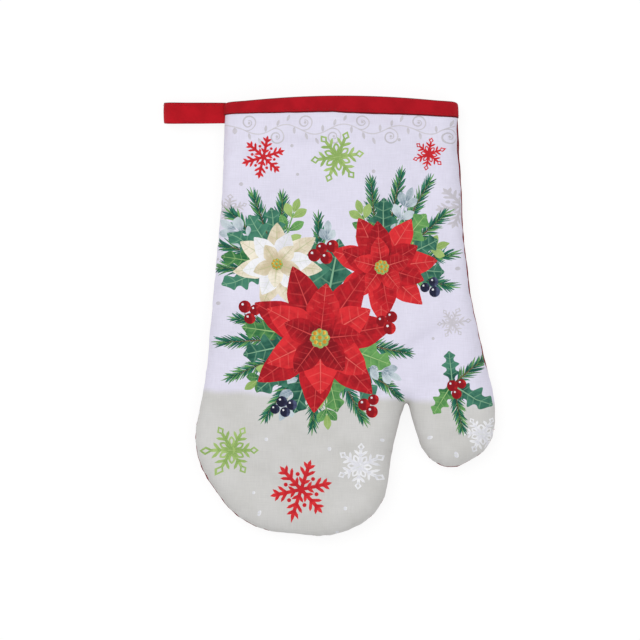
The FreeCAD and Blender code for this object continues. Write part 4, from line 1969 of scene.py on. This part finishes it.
@dataclass
class MittFace:
    """One face of the mitt: its panel, wadding and lining.

    Args:
        form: The padded shape.
        face: Which face it is.
        spacing: Distance between the panel's points.
        inner_spacing: The same for the wadding and the lining.
        rings: How deep each ring of the panel's points beside its edge lies.
        inner_rings: The same for the wadding and the lining.

    MARGIN is left free round the panel on the map for its baked look.
    """

    form: PaddedForm
    face: Face
    spacing: float = 2.1
    inner_spacing: float = 4.2
    rings: tuple[float, ...] = (0.4, 0.8, 1.2, 1.6, 2.3, 3.2, 4.3, 5.6, 7.2, 9.2)
    inner_rings: tuple[float, ...] = (0.8, 1.6, 3.2, 5.6, 8.6)
    MARGIN = 2.0

    @property
    def side(self) -> str:
        """The face's name as the model's pieces use it."""
        return self.face.name.lower()

    def faces(self, net: FlatNet, outward: bool = True) -> Array:
        """A net's triangles, turned to look out of the mitt or into it."""
        up = (self.face is Face.FRONT) == outward
        return net.triangles if up else net.triangles[:, ::-1]

    def panel(self, materials: Sequence[Material], patches: Sequence[Patch]) -> Object:
        """Build the outer panel, with the print's shapes as faces of their own inks.

        Args:
            materials: Its materials, in the inks' order where it is printed.
            patches: The printed shapes.

        Returns:
            The panel.
        """
        net = FlatNet(self.form.outline, self.spacing, self.rings, patches)
        mesh = ClothMesh(f"{self.side}_panel_cloth")
        faces = self.faces(net)
        placed = self.form.place(self.face, net.points)
        cloth = self.form.on_cloth(self.face, net.points)
        low = net.points.min(axis=0) - self.MARGIN
        span = (net.points.max(axis=0) - low).max() + self.MARGIN
        mesh.add(placed, faces, Cloth=cloth, OFBake=(net.points - low) / span)
        if patches:
            self._dress(mesh, net, faces)
        return mesh.make(*materials)

    @staticmethod
    def _dress(mesh: ClothMesh, net: FlatNet, faces: Array) -> None:
        """Give each printed shape its ink and its own coordinates.

        Args:
            mesh: The panel's mesh.
            net: Its flat net.
            faces: Its faces.
        """
        order = list(Ink)
        local, tone = np.zeros((2, len(faces), 3, 2))
        inks = np.full(len(faces), order.index(Ink.GROUND))
        for index in np.unique(net.owner[net.owner >= 0]):
            patch, rows = net.patches[index], net.owner == index
            corners = net.points[faces[rows]].reshape(-1, 2)
            local[rows] = patch.local(corners).reshape(-1, 3, 2)
            tone[rows] = (patch.tone, 0.0)
            inks[rows] = order.index(patch.ink)
        mesh.maps["Shape"] = local.reshape(-1, 2)
        mesh.maps["Tone"] = tone.reshape(-1, 2)
        mesh.inks = inks.tolist()

    def wadding(self, material: Material) -> Object:
        """Build the wadding as a closed sheet between the panel and the lining.

        Args:
            material: What it is made of.

        Returns:
            The wadding.
        """
        net = FlatNet(self.form.outline, self.inner_spacing, self.inner_rings)
        depths = (Depth.WADDING_OUTSIDE, Depth.WADDING_INSIDE)
        skins = [self.form.place(self.face, net.points, depth) for depth in depths]
        count = len(net.points)
        outer, inner = self.faces(net), self.faces(net, False) + count
        edges = np.concatenate([net.triangles[:, (i, (i + 1) % 3)] for i in range(3)]).tolist()
        uses = Counter(tuple(sorted(edge)) for edge in edges)
        rim = [edge for edge in edges if uses[tuple(sorted(edge))] == 1]
        if self.face is Face.FRONT:
            rim = [edge[::-1] for edge in rim]
        band = [(a, b, b + count, a + count) for a, b in rim]
        mesh = ClothMesh(f"{self.side}_wadding_sheet")
        flat = np.concatenate((net.points, net.points))
        mesh.add(np.concatenate(skins), [*outer.tolist(), *inner.tolist(), *band], Cloth=flat)
        return mesh.make(material)

    def lining(self, material: Material) -> Object:
        """Build the lining, which faces into the mitt.

        Args:
            material: What it is made of.

        Returns:
            The lining.
        """
        net = FlatNet(self.form.outline, self.inner_spacing * 0.8, self.inner_rings)
        mesh = ClothMesh(f"{self.side}_lining_cloth")
        placed = self.form.place(self.face, net.points, Depth.LINING_INSIDE)
        mesh.add(placed, self.faces(net, False), Cloth=net.points)
        return mesh.make(material)


@dataclass(frozen=True)
class StitchRow:
    """A row of machine stitches.

    Args:
        length: Length of each stitch.
        pitch: Distance from one stitch to the next.
        radius: Radius of the thread.
        relief: How far a stitch stands up at its middle.
    """

    length: float = 2.6
    pitch: float = 3.5
    radius: float = 0.2
    relief: float = 0.2

    def sew(self, mesh: ClothMesh, line: Array, out: Array) -> None:
        """Add the row's stitches along a line, none of them under the floor.

        Args:
            mesh: The mesh they join.
            line: The line on the cloth.
            out: The direction out of the cloth at each of its points.
        """
        runs = runs_along(line)
        parts = np.array((0.0, 0.1, 0.26, 0.5, 0.74, 0.9, 1.0))
        rise = self.relief * np.array((-1.6, 0.1, 0.9, 1.0, 0.9, 0.1, -1.6))
        count = int((runs[-1] - self.length) / self.pitch)
        for index in range(count):
            at = self.pitch * (index + 0.3) + parts * self.length
            path = on_line(at, runs, line) + on_line(at, runs, out) * rise[:, None]
            path[:, 2] = np.maximum(path[:, 2], self.radius)
            mesh.strand(path, self.radius)
        log.info("%s: %d stitches", mesh.name, count)


@dataclass
class CuffBinding:
    """The tape folded over the cuff's edge, all the way round the mouth, and its stitches.

    Args:
        form: The padded shape.
        tape: How thick the tape lies.
        width: How far it reaches down each side of the wall.
        beyond: How far its fold stands beyond the cuff's edge.
        stitch_inset: How far in from the tape's edge the stitches run.
        row: The stitches.

    The ring of its section numbered MEASURED lies flat, and gives the tape's length.
    """

    form: PaddedForm
    tape: float = 0.7
    width: float = 9.0
    beyond: float = 0.75
    stitch_inset: float = 1.6
    row: StitchRow = StitchRow()
    MEASURED = 8

    def _wander(self, across: Array, below: float) -> Array:
        """How far the hand-turned tape reaches lower or higher on the front.

        Args:
            across: Places across the hand.
            below: How far below the cuff's edge the row runs.

        Returns:
            One distance per place.
        """
        middle = 1.3 * bell(across, 30, 34)
        left = 1.9 * (1 - smooth(-64, -24, across))
        return (middle - left) * np.clip((below - 4) / (self.width - 4), 0, 1)

    def _flat_row(self, face: Face, below: float) -> Array:
        """Flat points across a face, from left to right, close together at its rims.

        Args:
            face: Which face.
            below: How far below the cuff's edge they lie.

        Returns:
            The points in order.
        """
        rim = self.form.RIMS[face]
        ends = np.array((0.0, 0.5, 1.2, 2.2, 3.4, 4.8, 6.4, 8.4))
        rim_end, count = 10.5, 58
        left = self.form.outline.cuff_corner(-1, below)[0] + rim.start * rim.reach
        right = self.form.outline.cuff_corner(1, below)[0] - rim.start * rim.reach
        inner = np.linspace(left + rim_end, right - rim_end, count)
        across = np.concatenate((left + ends, inner, (right - ends)[::-1]))
        if face is Face.FRONT:
            below = below + self._wander(across, below)
        return self.form.outline.on_arch(across, below)

    def _ring(self, below: float, depth: float, proud: float) -> Array:
        """A closed ring of points round the wall of the cuff.

        Args:
            below: How far below the cuff's edge it runs.
            depth: How deep in the wall it runs.
            proud: How far out from there.

        Returns:
            The points.
        """
        sides = [
            self.form.place(face, self._flat_row(face, below), depth, proud, groove=False)
            for face in (Face.FRONT, Face.BACK)
        ]
        front, back = sides[0], sides[1][::-1]
        part = np.array((1 / 3, 2 / 3))[:, None]
        right = front[-1] + (back[0] - front[-1]) * part
        left = back[-1] + (front[0] - back[-1]) * part
        return np.concatenate((front, right, back, left))

    def _section(self) -> list[Array]:
        """The rings of the tape, from its edge outside, over the fold, to its edge inside."""
        inside = Depth.LINING_INSIDE
        edge = (
            (0.15, -0.12), (0.12, 0.3), (-0.05, 0.58), (-0.4, 0.7),
            (-1.0, 0.7), (-1.6, 0.52), (-2.2, 0.72), (-3.6, 0.78),
        )
        flank = [(self.width + past, proud) for past, proud in edge] + [(4.0, 0.8), (2.6, 0.8)]
        rings = [self._ring(below, 0.0, proud) for below, proud in flank]
        start = 1.4
        for turn in np.linspace(0, math.pi, 11):
            below = start - (start + self.beyond) * math.sin(turn)
            outer = self._ring(below, 0.0, self.tape + 0.08)
            inner = self._ring(below, inside, -self.tape)
            rings.append(outer + (inner - outer) * (1 - math.cos(turn)) / 2)
        rings.extend(self._ring(below, inside, -proud) for below, proud in reversed(flank))
        return rings

    def build(self, finish: Material) -> Object:
        """Build the folded tape.

        Args:
            finish: Its material.

        Returns:
            The tape.
        """
        rows = np.array(self._section())
        mesh = ClothMesh("cuff_binding_tape")
        up = np.linalg.norm(np.diff(rows, axis=0), axis=2).mean(axis=1)
        u = runs_along(rows[self.MEASURED], closed=True)
        v = np.concatenate(([0.0], np.cumsum(up)))
        cloth = np.stack(np.meshgrid(u, v, indexing="xy"), axis=2)
        # The Cloth map is measured from the fold, where the tape's painted line of shade lies.
        fold = (0.0, v[len(v) // 2])
        log.info("cuff_binding_tape: cut %.1f mm by %.1f mm", u[-1], v[-1])
        mesh.grid(rows, (False, True), Cloth=cloth - fold, OFBake=cloth / (u[-1] + 2) + 0.003)
        piece = mesh.make(finish, round_off=1)
        return piece

    def stitches(self, thread: Material) -> Object:
        """Sew the tape's stitches round the cuff.

        Args:
            thread: Their material.

        Returns:
            The stitches.
        """
        mesh = ClothMesh("binding_stitches")
        below = self.width - self.stitch_inset
        line = self._ring(below, 0.0, 0.55)
        out = self._ring(below, 0.0, 1.55) - line
        line, out = (np.concatenate((a, a[:1])) for a in (line, out))
        self.row.sew(mesh, line, out)
        return mesh.make(thread)


@dataclass
class SideSeam:
    """The thread that shows in the groove of the seam round the mitt's edge.

    Args:
        form: The padded shape.
        pitch: Distance from one stitch to the next.
        slant: How far along the seam a stitch runs as it crosses.
        radius: Radius of the thread.
        inset: How far in from the flat edge a stitch starts and ends.
        clear: How far below the cuff's edge the first one lies.
    """

    form: PaddedForm
    pitch: float = 3.1
    slant: float = 1.3
    radius: float = 0.17
    inset: float = 0.62
    clear: float = 11.0

    def build(self, thread: Material) -> Object:
        """Sew the seam from the cuff's left side round to its right.

        Args:
            thread: Its material.

        Returns:
            The seam's stitches.
        """
        outline = self.form.outline
        runs = np.arange(outline.runs[0], outline.runs[-1], self.pitch)
        mesh = ClothMesh("side_seam_stitches")
        ends = []
        for face, ahead in ((Face.FRONT, 0.0), (Face.BACK, self.slant)):
            foot = on_line(runs + ahead, outline.runs, outline.line)
            ends.append(self.form.place(face, foot + outline.edge(foot).inward * self.inset))
        clear = outline.below_cuff(ends[0][:, :2]) > self.clear
        parts = np.linspace(-0.1, 1.1, 5)[:, None]
        for start, end in zip(ends[0][clear], ends[1][clear]):
            mesh.strand(start + (end - start) * parts, self.radius, 5)
        return mesh.make(thread)


@dataclass
class HangingLoop:
    """The loop at the cuff's left end: a folded tape laid back on itself, and its stitches.

    Args:
        width: The tape's width.
        thick: The folded tape's thickness.
        root_round: The loop's rounding at the cuff.
        tip_round: Its rounding at its far end.
        sewn_in: How far its ends run into the cuff's seam.
        stitch_inset: How far in from the tape's open edge the stitches run.
        step: Distance between points along the tape.
        row: The stitches.
    """

    width: float = 13.2
    thick: float = 1.6
    root_round: float = 2.0
    tip_round: float = 5.8
    sewn_in: float = 2.0
    stitch_inset: float = 1.6
    step: float = 0.8
    row: StitchRow = StitchRow()

    def __post_init__(self) -> None:
        """Find where the loop lies from the model."""
        low, high = (np.array(corner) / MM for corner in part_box("hanging_loop"))
        hinge = next(j for j in frame["joints"] if j["name"] == "loop_swing")
        self.middle = (low[1] + high[1]) / 2
        self.hinge = np.array(hinge["pos_m"]) / MM
        self.root = np.array((high[0] - self.root_round + self.sewn_in, self.hinge[2]))
        self.tip = np.array((low[0] + self.tip_round, low[2] + self.tip_round))

    def _path(self) -> tuple[Array, Array]:
        """The tape's middle seen from the side, from inside the cuff, and the way out of the loop.

        Returns:
            The points and the directions, as rows of x and z.
        """
        half = self.thick / 2
        radii = (self.root_round - half, self.tip_round - half)
        reach = self.tip - self.root
        lean = math.asin((radii[1] - radii[0]) / np.linalg.norm(reach))
        facing = math.atan2(reach[1], reach[0])
        above, below = facing - math.pi / 2 - lean, facing + math.pi / 2 + lean
        points, ways = [], []
        ends = (
            (self.tip, radii[1], above, below),
            (self.root, radii[0], below, above + 2 * math.pi),
        )
        for (centre, radius, start, end), (other, other_radius, *_) in zip(ends, ends[::-1]):
            count = max(8, math.ceil(abs(end - start) * radius / self.step))
            for turn in np.linspace(start, end, count + 1):
                way = np.array((math.cos(turn), math.sin(turn)))
                points.append(centre + way * radius)
                ways.append(way)
            last, way = points[-1], ways[-1]
            goal = other + way * other_radius
            count = math.ceil(np.linalg.norm(goal - last) / self.step)
            for share in np.linspace(0, 1, count + 1)[1:-1]:
                points.append(last + (goal - last) * share)
                ways.append(way)
        hidden = -int(np.argmax([point[0] for point in points]))
        return np.roll(points, hidden, axis=0), np.roll(ways, hidden, axis=0)

    def _section(self) -> Array:
        """The folded tape cut across: its place along the width and through the thickness."""
        half, edge = self.thick / 2, self.width / 2
        sewn = edge - self.stitch_inset
        top = [(-edge + 0.45, half), (-2.0, half + 0.04), (2.0, half + 0.04), (sewn - 0.7, half)]
        top += [(sewn, half - 0.14), (sewn + 0.7, half), (edge - 0.35, half - 0.04)]
        end = [(edge, half * 0.6), (edge - 0.05, half * 0.25), (edge - 0.6, 0.0)]
        low = [(y, -z) for y, z in reversed(top + end[:2])]
        fold = [(-edge + 0.08, -half * 0.6), (-edge, 0.0), (-edge + 0.08, half * 0.6)]
        return np.array(top + end + low + fold)

    def build(self, finish: Material) -> Object:
        """Build the looped tape.

        Args:
            finish: Its material.

        Returns:
            The tape.
        """
        path, ways = self._path()
        section = self._section()
        runs, around = (runs_along(line, closed=True) for line in (path, section))
        at, (side, height) = runs[:-1, None], section.T
        out = height + 0.13 * np.sin(at * 0.33 + side * 0.35)
        rows = np.empty((*out.shape, 3))
        rows[..., 0] = path[:, :1] + ways[:, :1] * out
        rows[..., 1] = self.middle + side * (1 + 0.004 * np.sin(at * 0.21))
        rows[..., 2] = np.maximum(path[:, 1:] + ways[:, 1:] * out, 0.0)
        cloth = np.stack(np.meshgrid(runs, around, indexing="ij"), axis=2)
        # The Cloth map is measured from the open edge, where the loop's painted line of shade lies.
        open_edge = (0.0, around[section[:, 0].argmax()])
        mesh = ClothMesh("hanging_loop_tape")
        bake = cloth / (runs[-1] + 2) + 0.005
        mesh.grid(rows, (True, True), Cloth=cloth - open_edge, OFBake=bake)
        piece = mesh.make(finish, round_off=1)
        return piece

    def stitches(self, thread: Material) -> Object:
        """Sew the tape's open edge shut.

        Args:
            thread: The material.

        Returns:
            The stitches.
        """
        path, ways = self._path()
        half = self.thick / 2 - 0.06
        y = np.full(len(path), self.middle + self.width / 2 - self.stitch_inset)
        line = np.column_stack((path[:, 0] + ways[:, 0] * half, y, path[:, 1] + ways[:, 1] * half))
        out = np.column_stack((ways[:, 0], np.zeros(len(path)), ways[:, 1]))
        mesh = ClothMesh("loop_stitches")
        self.row.sew(mesh, line, out)
        return mesh.make(thread)

    def hang(self, piece: Object) -> None:
        """Bake a piece of the loop's placement into its mesh."""
        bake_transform(piece)


@dataclass
class Studio:
    """The floor, the lights and the camera.

    Args:
        centre: What the camera looks straight down at.
        width: How much it sees across.
        height: How high it hangs.
        level: Height above the floor at which it sees that width.
        paper: How pale the floor is.
        glow: How bright the camera sees the floor's own glow.
        glowing: How much of the floor the camera sees as glow.
    """

    centre: tuple[float, float] = (-6.0, -2.35)
    width: float = 408.0
    height: float = 2600.0
    level: float = 10.0
    paper: float = 0.93
    glow: float = 1.04
    glowing: float = 0.85

    def floor(self) -> None:
        """Lay a plain pale floor, in metres, that keeps a faint shadow."""
        mesh = bpy.data.meshes.new("floor")
        half, level = 4.0, -0.0002
        ways = ((-1, -1), (1, -1), (1, 1), (-1, 1))
        mesh.from_pydata([(x * half, y * half, level) for x, y in ways], [], [(0, 1, 2, 3)])
        floor = put("floor", mesh)
        paper, g = bare_material("White paper")
        matt = g.node("BsdfDiffuse", (self.paper, self.paper, self.paper, 1.0))
        bright = g.node("Emission", (1.0, 1.0, 1.0, 1.0), self.glow)
        seen = g.math("MULTIPLY", g.node("LightPath").outputs["Is Camera Ray"], self.glowing)
        both = g.node("MixShader", seen, matt.outputs[0], bright.outputs[0])
        g.feed(g.node("OutputMaterial").inputs[0], both.outputs[0])
        mesh.materials.append(paper)

    def lights(self) -> None:
        """Set soft lamps above, in metres, and a pale world."""
        for name, place, size, power in (
            ("key", (-0.9, 0.8, 2.0), 1.6, 21.0),
            ("fill", (1.1, -0.5, 2.2), 1.8, 14.0),
        ):
            lamp = bpy.data.lights.new(name, "AREA")
            lamp.size, lamp.energy = size, power
            hung = put(name, lamp)
            hung.location = place
            hung.rotation_euler = (-Vector(place)).to_track_quat("-Z", "Y").to_euler()
        world = bpy.data.worlds.new("Pale room")
        world.use_nodes = True
        backdrop = world.node_tree.nodes["Background"]
        backdrop.inputs["Color"].default_value = (1.0, 1.0, 1.0, 1.0)
        backdrop.inputs["Strength"].default_value = 0.5
        bpy.context.scene.world = world

    def camera(self) -> None:
        """Hang the camera over the mitt."""
        made = bpy.data.cameras.new("camera")
        made.sensor_width = 36.0
        made.lens = made.sensor_width * (self.height - self.level) / self.width
        made.clip_end = 20.0
        hung = put("camera", made)
        hung.location = (self.centre[0] * MM, self.centre[1] * MM, self.height * MM)
        bpy.context.scene.camera = hung


def fit(
    piece: Object, node: str, slot: str, body: str | None = "mitt"
) -> None:
    """Hide the model's node that a piece stands for, and attach the piece to the body that it moves
    with.

    Args:
        piece: The piece.
        node: The model's node that it replaces.
        slot: Not used.
        body: The body it rides on, or None to attach it to none.
    """
    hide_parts(node)
    if body:
        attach(piece, body)


def main() -> None:
    """Build the mitt and its studio."""
    logging.basicConfig(level=logging.INFO, format="%(message)s")
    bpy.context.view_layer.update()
    bpy.context.scene.view_settings.view_transform = "Standard"
    studio = Studio()
    studio.camera()
    studio.lights()
    studio.floor()

    form = PaddedForm(Outline())
    form.shifts = Filling().fill(form)
    effects = Effects()
    printed = PrintedCotton().materials(effects)
    red_back, lining = BACK_COTTON.material(effects), LINING_COTTON.material(effects)
    batting, thread = BATTING.material(effects), RED_THREAD.material(effects)

    for face, cloths, patches, cloth_slot in (
        (Face.FRONT, printed, WinterPrint().patches, "print_cloth"),
        (Face.BACK, [red_back], (), "back_cloth"),
    ):
        side = MittFace(form, face)
        fit(side.panel(cloths, patches), f"{side.side}_panel", cloth_slot)
        fit(side.wadding(batting), f"{side.side}_wadding", "wadding")
        fit(side.lining(lining), f"{side.side}_lining", "lining")

    fit(SideSeam(form).build(thread), "side_seam", "thread")
    binding = CuffBinding(form)
    fit(binding.build(TAPE_COTTON.material(effects)), "cuff_binding", "binding_tape")
    fit(binding.stitches(thread), "binding_stitching", "thread")
    loop = HangingLoop()
    for piece, node, slot in (
        (loop.build(LOOP_COTTON.material(effects)), "hanging_loop", "loop_tape"),
        (loop.stitches(thread), "loop_stitching", "thread"),
    ):
        fit(piece, node, slot, body=None)
        loop.hang(piece)

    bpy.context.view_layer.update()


if __name__ == "__main__":
    main()
